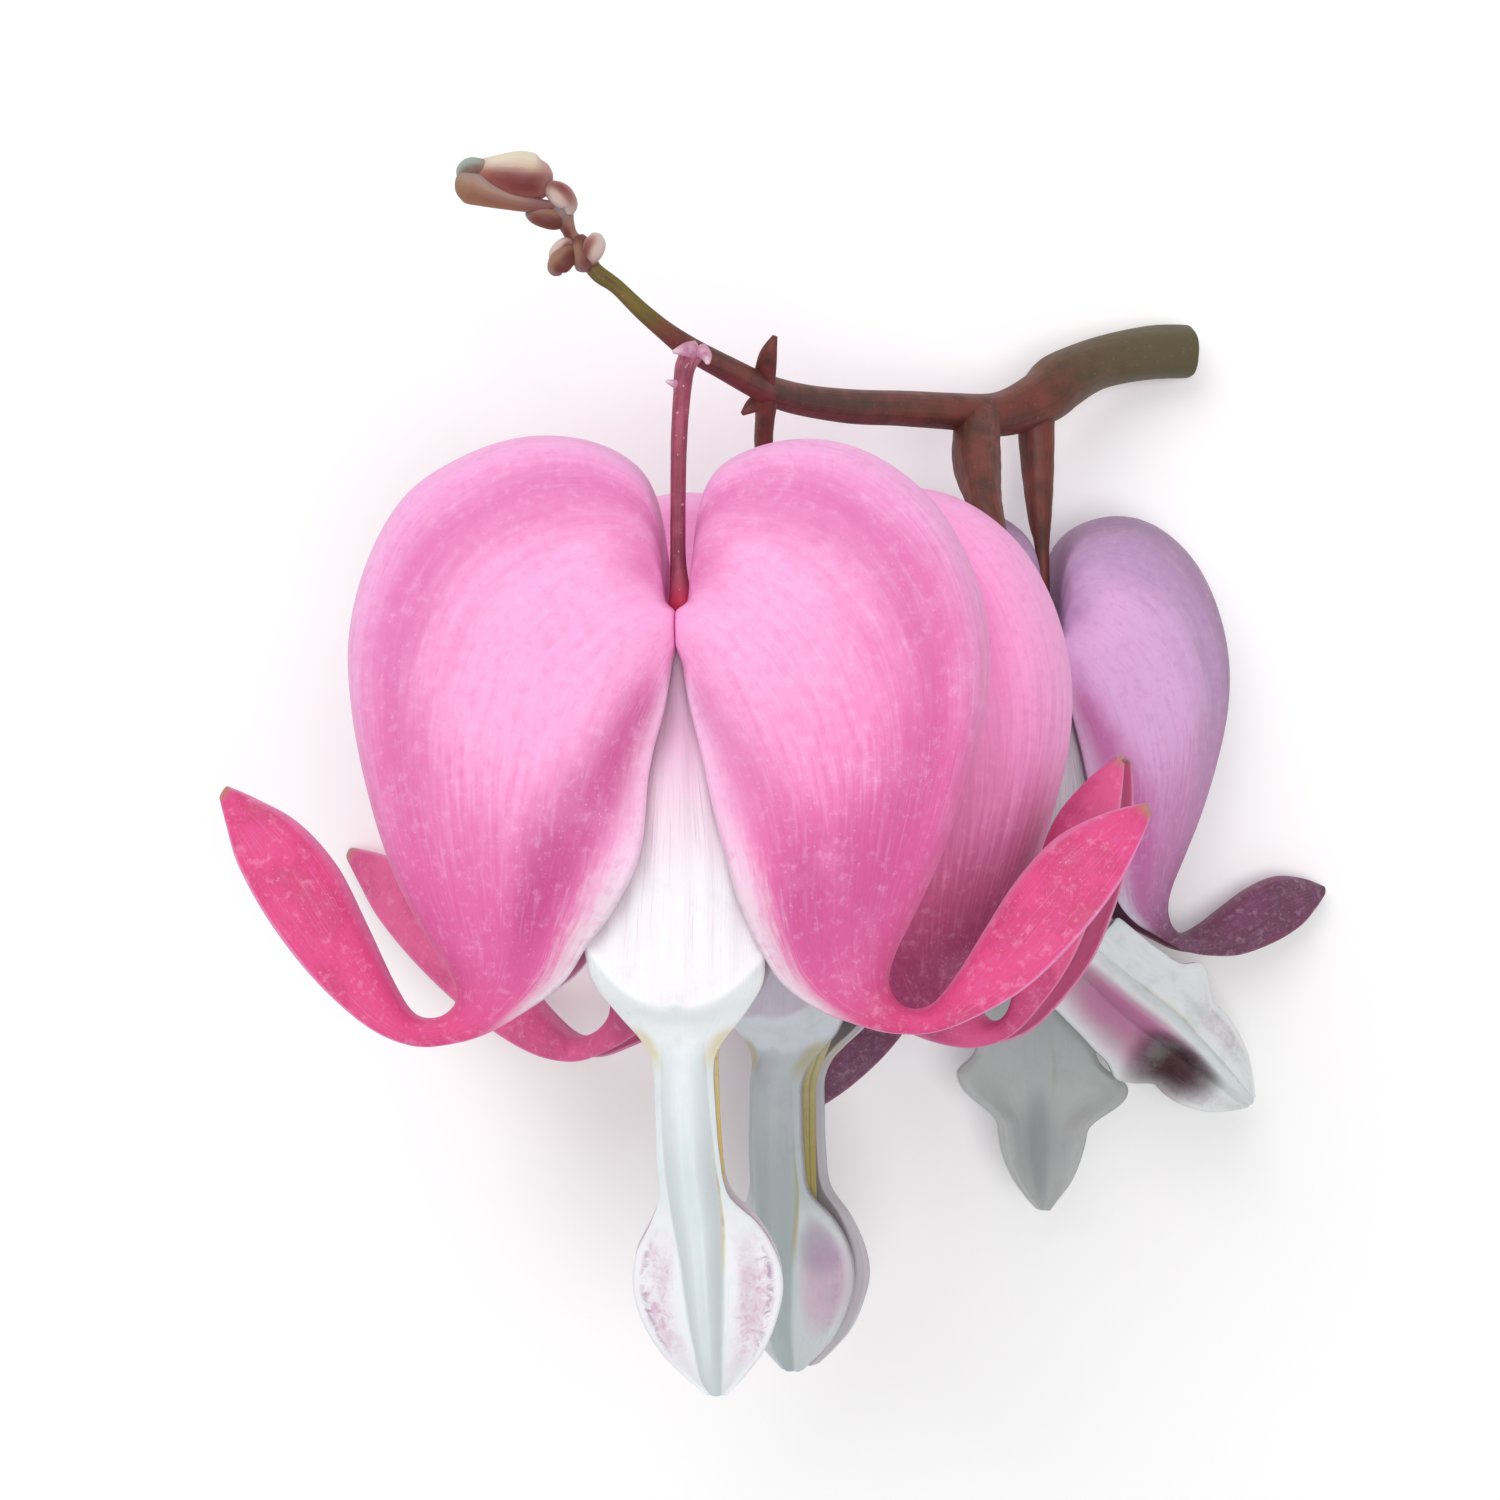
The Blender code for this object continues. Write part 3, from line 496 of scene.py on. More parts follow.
innerPetal = {
    "wall": 0.6, "rows": 161, "columns": 81,
    "waist": 8,  # station where the bell ends and the claw starts
    "lip": {"low": -13.72, "bend": 0.21, "rise": 0.13, "width": 0.30, "notch": 0.26, "undercut": 0.03},
    "grain": {"streak": 26, "hair": 70, "cloud": 700, "mottle": 2600},
    # y in the middle, y at the sides, left x, right x, height, fall to the sides, crest x, half width, height
    "stations": (
        (-1.1, -1.1, -0.26, 0.26, 1.20, 0.10, 0.00, 0.12, 0.00),
        (-3.6, -3.4, -1.05, 1.05, 1.55, 0.35, 0.00, 0.40, 0.05),
        (-6.0, -5.4, -2.15, 2.20, 2.35, 0.75, 0.00, 0.50, 0.05),
        (-9.2, -8.2, -2.85, 2.95, 2.62, 0.95, 0.00, 0.60, 0.05),
        (-11.8, -10.4, -3.15, 3.10, 2.78, 1.00, 0.05, 0.70, 0.08),
        (-13.2, -11.9, -3.15, 3.10, 2.95, 1.00, 0.05, 0.80, 0.10),
        (-13.75, -12.9, -2.85, 2.98, 2.75, 0.95, 0.10, 0.80, 0.05),
        (-14.3, -14.0, -2.05, 2.30, 2.10, 0.70, 0.15, 0.80, 0.05),
        (-14.95, -14.9, -1.30, 1.60, 1.60, 0.45, 0.20, 0.75, 0.15),
        (-15.7, -15.7, -0.90, 1.25, 1.50, 0.40, 0.20, 0.80, 0.35),
        (-17.3, -17.3, -0.80, 1.30, 1.50, 0.40, 0.27, 0.85, 0.55),
        (-19.0, -19.0, -0.74, 1.45, 1.50, 0.40, 0.40, 0.90, 0.75),
        (-20.3, -20.3, -0.66, 1.75, 1.50, 0.45, 0.58, 0.92, 0.95),
        (-21.3, -21.3, -0.98, 2.75, 1.55, 0.70, 0.72, 0.88, 1.10),
        (-22.4, -22.4, -1.50, 3.42, 1.60, 0.85, 0.84, 0.76, 1.15),
        (-23.5, -23.5, -1.62, 3.65, 1.60, 0.85, 0.92, 0.68, 1.10),
        (-24.7, -24.7, -1.32, 3.42, 1.50, 0.75, 1.00, 0.58, 1.00),
        (-25.8, -25.8, -0.66, 2.95, 1.35, 0.60, 1.08, 0.46, 0.80),
        (-26.7, -26.7, 0.22, 2.25, 1.10, 0.35, 1.15, 0.38, 0.50),
        (-27.3, -27.3, 1.00, 1.68, 0.90, 0.10, 1.30, 0.20, 0.20),
    ),
}


def swung(x, y, swing, length, tilt, sway):  # what hangs below the waist of the inner petals leans together
    pivotX, pivotY = 0.2, innerPetal["stations"][innerPetal["waist"]][0] + 1.0
    beyond = np.maximum(pivotY - y, 0.0)
    angle = np.radians(swing) * ease(beyond / 2.5)
    beside, below = x - pivotX, -beyond * length
    newX = pivotX + beside * np.cos(angle) - below * np.sin(angle) + sway * ease(beyond / 2.5)
    newY = np.where(beyond > 0, pivotY + beside * np.sin(angle) + below * np.cos(angle), y)
    return newX, newY, tilt * beyond


def innerPetalWalls(swing, length, broad, fade, tilt, sway):
    places = np.linspace(0, len(innerPetal["stations"]) - 1, innerPetal["rows"])
    across = np.linspace(-1, 1, innerPetal["columns"])[None, :]
    table = smooth(innerPetal["stations"], places)
    middleY, sideY, left, right, height = (table[:, i : i + 1] for i in range(5))
    fall, crestX, crestHalf, crestRise = (table[:, i : i + 1] for i in range(5, 9))
    below = ease((places - innerPetal["waist"] + 1.5) / 2)[:, None]
    centre = (left + right) / 2
    wider = 1 + (broad - 1) * below * (1 - ease((places - fade) / 3)[:, None])
    left, right = centre + (left - centre) * wider, centre + (right - centre) * wider
    outside = np.clip((np.abs(across) - 0.5) / 0.5, 0, 1)
    inside = np.clip(np.abs(across) / 0.5, 0, 1)
    edge = np.where(across < 0, left, right)
    leftFoot = np.maximum(crestX - crestHalf, left + 0.12)
    rightFoot = np.minimum(crestX + crestHalf, right - 0.12)
    foot = np.where(across < 0, leftFoot, rightFoot)
    x = np.where(np.abs(across) > 0.5, foot + (edge - foot) * outside, crestX + (foot - crestX) * inside)
    spread = np.abs(x - centre) / np.maximum((right - left) / 2, 0.05)
    y = middleY + (sideY - middleY) * spread**2
    base = height - fall * spread**2
    at = places[:, None]
    base = base + 0.10 * bell(spread, 1.0, 0.16) * ease((at - 13) / 2)  # the wing's edge lifts a little
    base = base - 0.12 * bell(spread, 0.72, 0.18) * bell(at, 15, 1.8)
    base = base + 0.02 * np.sin(x * 7.5) * ease(at / 2) * ease((6 - at) / 2)  # soft pleats on the bell
    lip = innerPetal["lip"]
    lipY = lip["low"] + lip["bend"] * (x - 0.1) ** 2 + lip["notch"] * bell(x, 0.05, 0.28)
    onBell = ease((at - 2.5) / 2) * ease((8.5 - at) / 1.5)
    rolled = lip["rise"] * bell(y, lipY, lip["width"]) - lip["undercut"] * bell(y, lipY - 0.62, 0.36)
    base = base + onBell * rolled
    crest = 0.8 * crestRise * np.clip(1 - inside**2, 0, 1) ** 0.9
    groove = 0.10 * bell(inside, 0.0, 0.22) * ease((at - 9) / 2) * ease((18 - at) / 2)
    newX, newY, lift = swung(x, y, swing, length, tilt, sway)
    thin = innerPetal["wall"] * (1 - 0.4 * ease((spread - 0.85) / 0.15))
    outer = np.dstack([newX, newY, base + crest - groove + lift])
    inner = np.dstack([newX, newY, base - thin + lift])
    grid = outer.shape[:2]
    measures = {"run": np.broadcast_to(at, grid), "across": np.broadcast_to(across, grid)}
    measures["spread"] = spread * np.sign(x - centre)
    measures["lip"] = y - lipY
    return outer, inner, measures


def innerPetalLook(name, tint, marks):
    look = Look(name)
    run, across, spread, wall = (look.measure(key) for key in ("run", "across", "spread", "wall"))
    wide, scales = abs(spread), innerPetal["grain"]
    streak = look.noise(look.vector(spread * scales["streak"], run * 0.5, wall * 5), 1.3, 4, 0.6)
    hair = look.noise(look.vector(spread * scales["hair"], run * 0.9, wall * 5), 1.0, 3, 0.6)
    cloud = look.noise(look.place(), scales["cloud"], 4, 0.62)
    mottle = look.noise(look.place(), scales["mottle"], 5, 0.66, 0.8)
    lip = look.measure("lip")
    colour = look.mix(tint["top"], tint["bell"], look.step(run + (streak - 0.5) * 1.4, 1.2, 3.4))
    colour = look.mix(colour, tint["claw"], look.step(run, 7.2, 9.2))
    colour = look.mix(colour, tint["flush"], look.step(streak, 0.54, 0.72) * look.step(run, 5.6, 2.0) * 0.55)
    crest = look.step(abs(across), 0.52, 0.40) * look.step(run, 9.5, 11.5)
    wing = look.step(abs(across), 0.46, 0.56) * look.step(run, 11.8, 13.0)
    colour = look.mix(colour, tint["crest"], crest)
    colour = look.mix(colour, tint["wing"], wing)
    # the lip colour, whiter than the bell, is partly the white of the rolled lip and partly painted light on
    # the lip and on the slope below it, which faces away from the key light
    shelf = look.window(lip, -1.3, 0.10, 0.14) * look.window(run, 3.0, 8.2, 0.6)
    colour = look.mix(colour, tint["lip"], shelf * 0.85)
    patch = look.window(wide + (cloud - 0.5) * 0.2, 0.46, 0.86, 0.10) * look.window(run, 13.9, 16.9, 1.0)
    haze = wing * patch * look.step(cloud + mottle, 0.70, 1.15)
    colour = look.mix(colour, tint["haze"], haze * marks["mottle"])
    blotch = wing * patch * look.step(mottle, 0.48, 0.66)
    colour = look.mix(colour, tint["flush"], blotch * marks["mottle"] * 0.5)
    rimLine = look.window(wide + (cloud - 0.5) * 0.10, 0.80, 0.88, 0.04) * look.window(run, 13.7, 17.0, 0.8)
    rimLine = wing * rimLine * look.step(mottle, 0.38, 0.60)
    colour = look.mix(colour, tint["line"], rimLine * marks["mottle"] * 0.7)
    seam = look.window(across + (streak - 0.5) * 0.03, 0.475, 0.525, 0.022)
    seam = seam * look.window(run, 11.0, 14.2, 0.8)
    seamInk = look.mix(tint["seam"], tint["seamDeep"], look.step(cloud, 0.5, 0.62))
    colour = look.mix(colour, seamInk, seam * 0.6)
    collar = look.step(wide, 0.55, 0.85) * look.window(run, 7.5, 9.0, 0.4)
    colour = look.mix(colour, tint["seam"], collar * 0.6)
    for spot in marks["spots"]:
        away = ((across - spot["across"]) * spot["tall"]) ** 2 + ((run - spot["run"]) * spot["long"]) ** 2
        near = look.step(away + (cloud - 0.5) * 0.4, 1.5, 0.05)
        colour = look.mix(colour, spot["ink"], near * spot["share"])
    colour = look.mix(colour, tint["shade"], look.step(cloud, 0.50, 0.72) * 0.25)
    colour = look.mix(colour, tint["shade"], look.step(hair, 0.54, 0.70) * 0.16)
    colour = look.mix(colour, tint["inside"], look.step(wall, 0.4, 0.6) * 0.7)
    height = streak * 0.4 + hair * 0.2 + cloud * 0.5
    return look.finish(colour, 0.38 + cloud * 0.2, height, 0.04, 0.22)


# stamens: two pairs of threads with the pistil between them

stamens = {
    "first": 0.7, "steps": 60, "sides": 12,  # the row where they start, and how finely they are made
    # share of the half width, height where the half depth is 0.5, radius
    "threads": (
        (-0.80, 0.18, 0.20), (-0.72, -0.20, 0.17), (0.70, 0.18, 0.20), (0.84, -0.16, 0.17), (0.0, 0.0, 0.26),
    ),
    # y, left x, right x, half depth
    "stations": (
        (-1.6, -0.25, 0.25, 0.20), (-4.0, -1.00, 1.00, 0.45), (-8.0, -1.55, 1.60, 0.60),
        (-12.0, -1.60, 1.75, 0.60), (-14.4, -1.30, 1.65, 0.52), (-15.4, -1.08, 1.52, 0.50),
        (-17.0, -0.65, 1.50, 0.48), (-19.0, -0.55, 1.62, 0.45), (-21.0, -0.30, 1.75, 0.42),
        (-23.0, 0.10, 1.80, 0.40), (-24.6, 0.60, 1.50, 0.30),
    ),
}


def stamenLook(name, tint):
    look = Look(name)
    run = look.measure("run")
    grain = look.noise(look.place(), 3500, 4, 0.65)
    colour = look.mix(tint["thread"], tint["threadDeep"], look.step(run + (grain - 0.5) * 0.25, 0.35, 0.72))
    colour = look.mix(colour, tint["seamDeep"], look.step(grain, 0.54, 0.70) * 0.35)
    return look.finish(colour, 0.6, grain, 0.03, 0.1)


# placing a bloom

# in each outer tint, channel and crease serve as painted shade: channel in the gully below the notch and, in
# the pink tint, the groove inside the rim; crease beside the slit and low on the lobe
pinkTint = {
    "rim": ink(245, 172, 222), "channel": ink(228, 128, 188), "face": ink(255, 172, 222),
    "low": ink(234, 100, 168), "crease": ink(196, 70, 138), "pale": ink(240, 222, 234),
    "blade": ink(226, 76, 138), "bladeDeep": ink(204, 48, 104), "bladeEdge": ink(238, 156, 200),
    "vein": ink(222, 108, 176), "gleam": ink(255, 200, 238), "tip": ink(180, 140, 110),
    "neck": ink(214, 74, 134), "necked": 0.5, "margin": ink(250, 206, 232), "inside": ink(226, 150, 190),
    "insideDeep": ink(150, 38, 82),
}
# bloom 2: its dark low colour is painted shadow of bloom 1 over the lower lobe
roseTint = {
    "rim": ink(250, 168, 220), "channel": ink(248, 160, 214), "face": ink(252, 160, 214),
    "low": ink(166, 48, 104), "crease": ink(180, 58, 118), "pale": ink(200, 150, 180),
    "blade": ink(226, 98, 150), "bladeDeep": ink(200, 66, 122), "neck": ink(146, 44, 94), "necked": 0.9,
    "margin": ink(226, 150, 196), "bladeEdge": ink(228, 140, 178), "vein": ink(222, 116, 178),
    "gleam": ink(250, 178, 222), "tip": ink(190, 140, 132), "inside": ink(206, 120, 164),
    "insideDeep": ink(188, 78, 122),
}
mauveTint = {
    "rim": ink(164, 134, 164), "channel": ink(188, 152, 192), "face": ink(224, 176, 222),
    "low": ink(194, 124, 174), "crease": ink(190, 96, 160), "pale": ink(206, 196, 214),
    "blade": ink(112, 60, 88), "bladeDeep": ink(92, 52, 70), "neck": ink(150, 84, 124), "necked": 0.6,
    "margin": ink(214, 190, 214), "bladeEdge": ink(132, 84, 100), "vein": ink(176, 120, 170),
    "gleam": ink(216, 178, 214), "tip": ink(96, 66, 66), "inside": ink(170, 110, 150),
    "insideDeep": ink(96, 44, 66),
}
whiteTint = {
    "top": ink(240, 190, 220), "bell": ink(246, 242, 247), "claw": ink(226, 234, 236),
    "crest": ink(212, 222, 224), "wing": ink(236, 236, 240), "flush": ink(206, 136, 176),
    "line": ink(128, 96, 138), "shade": ink(208, 214, 220), "haze": ink(222, 198, 216),
    "lip": ink(250, 254, 255), "inside": ink(214, 196, 208), "seam": ink(222, 206, 150),
    "seamDeep": ink(200, 140, 70), "thread": ink(226, 220, 186), "threadDeep": ink(222, 194, 112),
}
paleTint = {
    "top": ink(224, 210, 224), "bell": ink(222, 226, 230), "claw": ink(222, 228, 230),
    "crest": ink(214, 222, 222), "wing": ink(224, 228, 228), "flush": ink(150, 110, 146),
    "line": ink(110, 76, 100), "shade": ink(150, 164, 158), "haze": ink(176, 160, 176),
    "lip": ink(226, 230, 238), "inside": ink(160, 166, 164), "seam": ink(208, 206, 190),
    "seamDeep": ink(190, 186, 160), "thread": ink(196, 196, 176), "threadDeep": ink(176, 170, 130),
}
# bloom 2's inner petals and stamens: a darker copy of the white tint, painted shade
shadedWhiteTint = {
    "top": ink(214, 176, 200), "bell": ink(200, 204, 214), "claw": ink(184, 194, 196),
    "crest": ink(176, 188, 188), "wing": ink(206, 212, 214), "flush": ink(186, 130, 170),
    "line": ink(120, 80, 122), "shade": ink(156, 168, 170), "haze": ink(196, 178, 198),
    "lip": ink(214, 220, 228), "inside": ink(190, 184, 190), "seam": ink(176, 166, 96),
    "seamDeep": ink(160, 146, 70), "thread": ink(184, 180, 140), "threadDeep": ink(164, 152, 92),
}
dimMarks = {
    "mottle": 0.3,
    "spots": (
        {"across": 0.80, "run": 15.0, "tall": 4.2, "long": 0.55, "ink": ink(196, 138, 178), "share": 0.5},
        {"across": 0.74, "run": 13.9, "tall": 5.0, "long": 0.95, "ink": ink(112, 92, 130), "share": 0.42},
    ),
}
plainMarks = {"mottle": 0.8, "spots": ()}
rearMarks = {
    "mottle": 0.3,
    "spots": (
        {"across": -0.44, "run": 11.3, "tall": 2.1, "long": 0.24, "ink": ink(176, 92, 142), "share": 0.9},
        {"across": -0.56, "run": 14.3, "tall": 2.0, "long": 0.46, "ink": ink(60, 22, 36), "share": 1.0},
    ),
}
lowMarks = {
    "mottle": 0.2,
    "spots": (
        {"across": 0.0, "run": 15.8, "tall": 1.5, "long": 0.42, "ink": ink(92, 88, 110), "share": 0.75},
    ),
}

# at: the photo's point and the height of the notch; lift: degrees turned about the stalk
# curl: degrees, stretch and drop of a tip
# swing: degrees, length, breadth, the last row that it widens, tilt and shift aside
blooms = (
    {
        "name": "bloom1", "at": (681, 615, 22.0), "size": 1.0, "lift": 4.0, "narrow": 1.0,
        "leftCurl": (0.0, 1.0, 0.0), "rightCurl": (0.0, 1.0, 0.0),
        "frontSwing": (0.0, 1.0, 1.0, 12.0, 0.0, 0.0), "backSwing": (-0.6, 1.0, 1.0, 12.0, 0.0, 0.0),
        "rows": 231, "columns": 121, "outer": pinkTint, "inner": whiteTint,
        "slots": ("petal_pink", "petal_white"),
        "shading": {"left": "creased", "right": "broadlyShaded"},
        "marks": (plainMarks, plainMarks),
    },
    {
        "name": "bloom2", "at": (797, 655, 11.5), "size": 1.028, "lift": 28.0, "narrow": 1.0,
        "leftCurl": (18.0, 1.27, -0.058), "rightCurl": (22.0, 1.0, 0.0),
        "frontSwing": (-3.0, 0.97, 1.0, 12.0, 0.0, -0.5), "backSwing": (-3.0, 0.97, 1.0, 12.0, 0.0, -0.5),
        "rows": 185, "columns": 91, "outer": roseTint, "inner": shadedWhiteTint,
        "slots": ("petal_rose", "petal_white"),
        "shading": {"left": "creased", "right": "creased"},
        "marks": (dimMarks, dimMarks),
    },
    {
        "name": "bloom3", "at": (1043, 641, 4.2), "size": 0.853, "lift": -15.0, "narrow": 0.87,
        "leftCurl": (88.0, 1.0, 0.0), "rightCurl": (-29.0, 0.88, -0.03),
        "frontSwing": (48.0, 1.05, 2.8, 11.6, 0.12, 0.0), "backSwing": (-5.0, 1.03, 3.2, 12.1, -0.02, 0.0),
        "rows": 161, "columns": 81, "outer": mauveTint, "inner": paleTint,
        "slots": ("petal_mauve", "petal_pale"),
        "shading": {"left": "creased", "right": "creased"},
        "marks": (rearMarks, lowMarks),
    },
)


def placed(points, bloom):
    angle = math.radians(bloom["lift"])
    cosine, sine = math.cos(angle), math.sin(angle)
    x, z = points[..., 0] * bloom["narrow"], points[..., 2]
    turned = np.stack([x * cosine - z * sine, points[..., 1], x * sine + z * cosine], -1)
    return turned * bloom["size"] + seen(*bloom["at"])


def buildOuterPetals(bloom):
    name, slot = bloom["name"], bloom["slots"][0]
    for side in ("left", "right"):
        shading = outerPetal["shading"][bloom["shading"][side]]
        look = outerPetalLook(f"{name}OuterPetal_{side}", bloom["outer"], shading)
        stations = curled(outerPetal[side], *bloom[side + "Curl"])
        outer, inner, measures = outerPetalWalls(stations, side, bloom["rows"], bloom["columns"])
        piece = addSheet(f"{name}_petal_{side}", placed(outer, bloom), placed(inner, bloom), look, measures)
        settle(piece, f"{name}_outer_petal_{side}")


def buildInnerPetals(bloom):
    name, slot = bloom["name"], bloom["slots"][1]
    for side, facing, marks in (("front", 1, bloom["marks"][0]), ("back", -1, bloom["marks"][1])):
        look = innerPetalLook(f"{name}InnerPetal_{side}", bloom["inner"], marks)
        outer, inner, measures = innerPetalWalls(*bloom[side + "Swing"])
        flip = np.array([1, 1, facing])
        outer, inner = placed(outer * flip, bloom), placed(inner * flip, bloom)
        piece = addSheet(f"{name}_inner_{side}", outer, inner, look, measures)
        settle(piece, f"{name}_inner_petal_{side}")


def buildStamens(bloom):
    name = bloom["name"]
    look = stamenLook(name + "Stamens", bloom["inner"])
    swing, length, _, _, tilt, sway = bloom["frontSwing"]
    places = np.linspace(stamens["first"], len(stamens["stations"]) - 1, stamens["steps"])
    y, left, right, depth = smooth(stamens["stations"], places).T
    half = (right - left) / 2
    for number, (side, deep, radius) in enumerate(stamens["threads"]):
        reach = np.maximum(half - radius, 0.02) * side
        x, newY, lift = swung((left + right) / 2 + reach, y, swing, length, tilt, sway)
        centres = placed(np.column_stack([x, newY, deep * depth / 0.5 + lift]), bloom)
        radii = radius * (1 + 0.5 * bell(y, -23.2, 0.9)) * ease(0.35 + (y - y[-1]) / 1.5)
        piece = addTube(f"{name}_thread_{number}", centres, radii * bloom["size"], stamens["sides"], look)
        settle(piece, f"{name}_stamens")


for bloom in blooms:
    buildOuterPetals(bloom)
    buildInnerPetals(bloom)
    buildStamens(bloom)
    print("bloom built:", bloom["name"])


# stem, stalks and bracts

stalks = {
    # the photo's point, height and radius
    "stem": (
        (1187, 352, 1.19, 1.12), (1150, 353, 1.75, 1.14), (1100, 363, 2.65, 1.08), (1062, 381, 3.80, 1.22),
        (1041, 398, 4.60, 1.12), (1000, 414, 5.90, 0.90), (950, 411, 7.90, 0.74), (900, 408, 10.10, 0.70),
        (850, 406, 12.40, 0.66), (800, 399, 14.90, 0.60), (765, 388, 16.90, 0.54), (726, 368, 19.30, 0.46),
        (691, 349, 21.20, 0.42), (667, 332, 22.10, 0.35), (642, 311, 22.60, 0.30), (617, 287, 22.90, 0.27),
        (600, 275, 23.00, 0.29), (592, 267, 23.00, 0.27),
    ),
    "stalk1": (
        (692, 354, 21.30, 0.40), (685, 368, 21.70, 0.36), (682, 395, 21.95, 0.31),
        (679, 440, 22.0, 0.29), (678, 500, 22.0, 0.27), (678, 560, 22.1, 0.28), (680, 592, 22.3, 0.38),
        (681, 607, 22.3, 0.46), (681, 619, 22.1, 0.16),
    ),
    "stalk2": (
        (768, 392, 16.70, 0.44), (765, 420, 16.20, 0.37), (764, 450, 15.60, 0.35), (770, 520, 13.90, 0.33),
        (783, 590, 12.40, 0.32), (793, 634, 11.60, 0.30), (796, 650, 11.50, 0.12),
    ),
    "stalk3": (
        (978, 418, 6.90, 0.90), (977, 460, 8.60, 0.98), (984, 500, 10.40, 0.70), (995, 540, 11.20, 0.50),
        (1002, 566, 11.50, 0.25),
    ),
    "stalk4": (
        (1036, 412, 4.60, 0.80), (1038, 470, 4.40, 0.68), (1040, 520, 4.25, 0.48), (1042, 548, 4.20, 0.30),
        (1043, 600, 4.20, 0.26), (1043, 634, 4.20, 0.12),
    ),
    "bracts": (
        ((764, 382, 17.3, 0.42), (768, 356, 18.4, 0.34), (775, 336, 18.8, 0.10)),
        ((764, 398, 16.6, 0.36), (752, 406, 16.9, 0.28), (742, 414, 17.0, 0.08)),
        ((694, 350, 21.6, 0.38), (684, 350, 22.1, 0.24), (673, 352, 22.3, 0.07)),
        ((683, 388, 21.9, 0.26), (675, 384, 22.1, 0.16), (666, 381, 22.2, 0.06)),
        ((700, 350, 21.6, 0.30), (706, 356, 22.1, 0.22), (708, 364, 22.3, 0.07)),
    ),
    "bract": {"steps": 40, "sides": 20, "flatness": 0.6, "dusky": 2},  # the first two are as dark as the stem
    "scales": {"cloud": 900, "speck": 6000},
}
stemTint = {
    "stem": ink(116, 58, 50), "dark": ink(78, 50, 42), "green": ink(112, 108, 34), "cut": ink(92, 84, 60),
}
stalkTint = {
    "stem": ink(164, 78, 102), "dark": ink(124, 52, 74), "green": ink(206, 130, 150),
    "cut": ink(210, 62, 100),
}
bractTint = {
    "stem": ink(210, 160, 182), "dark": ink(180, 112, 144), "green": ink(210, 160, 182),
    "cut": ink(226, 200, 210),
}


fleckInk = ink(228, 186, 190)
never = (2.0, 3.0)  # beyond the far end


def stalkLook(name, tint, greenAt, cutAt, fleck):
    look = Look(name)
    run, turn = look.measure("run"), look.measure("turn")
    grooves = look.noise(look.vector(turn * 3.0, run * 2.0, 0.0), 2.4, 4, 0.6)
    cloud = look.noise(look.place(), stalks["scales"]["cloud"], 4, 0.6)
    speck = look.noise(look.place(), stalks["scales"]["speck"], 2, 0.5)
    colour = look.mix(tint["stem"], tint["dark"], look.step(grooves * 0.7 + cloud * 0.5, 0.5, 0.75))
    green = look.step(run + (cloud - 0.5) * 0.06, *greenAt) * look.step(grooves, 0.75, 0.35)
    colour = look.mix(colour, tint["green"], green)
    colour = look.mix(colour, tint["cut"], look.step(run + (cloud - 0.5) * 0.1, *cutAt))
    colour = look.mix(colour, fleckInk, look.step(speck, 0.66, 0.74) * fleck)
    return look.finish(colour, 0.42 + cloud * 0.25, grooves * 0.6 + cloud * 0.6, 0.06, 0.08)


def pathOf(points, steps):  # centres and radii of a tube
    table = smooth([(*seen(*row[:3]), row[3]) for row in points], np.linspace(0, len(points) - 1, steps))
    return table[:, :3], table[:, 3]


def stemRipple(run, angle):
    return 1 + 0.025 * np.cos(angle * 5 + run * 4) + 0.008 * np.sin(run * 70 + angle * 2)


def buildStalks():
    woody = stalkLook("woodyStalk", stemTint, (0.74, 0.86), (0.30, 0.04), 0.08)
    rosy = stalkLook("rosyStalk", stalkTint, (0.25, 0.0), (0.66, 0.86), 0.75)
    dusky = stalkLook("duskyStalk", stemTint, never, never, 0.05)
    papery = stalkLook("bract", bractTint, never, (0.5, 1.0), 0.2)
    plan = (
        ("stem", 400, 36, woody), ("stalk1", 200, 28, rosy), ("stalk2", 120, 24, dusky),
        ("stalk3", 90, 24, dusky), ("stalk4", 110, 24, dusky),
    )
    for name, steps, sides, material in plan:
        centres, radii = pathOf(stalks[name], steps)
        settle(addTube(name, centres, radii, sides, material, ripple=stemRipple), "stem")
    bract = stalks["bract"]
    for number, points in enumerate(stalks["bracts"]):
        centres, radii = pathOf(points, bract["steps"])
        material = dusky if number < bract["dusky"] else papery
        piece = addTube(f"bract_{number}", centres, radii, bract["sides"], material, bract["flatness"])
        settle(piece, "stem")


buildStalks()
print("stalks built")


# buds at the tip

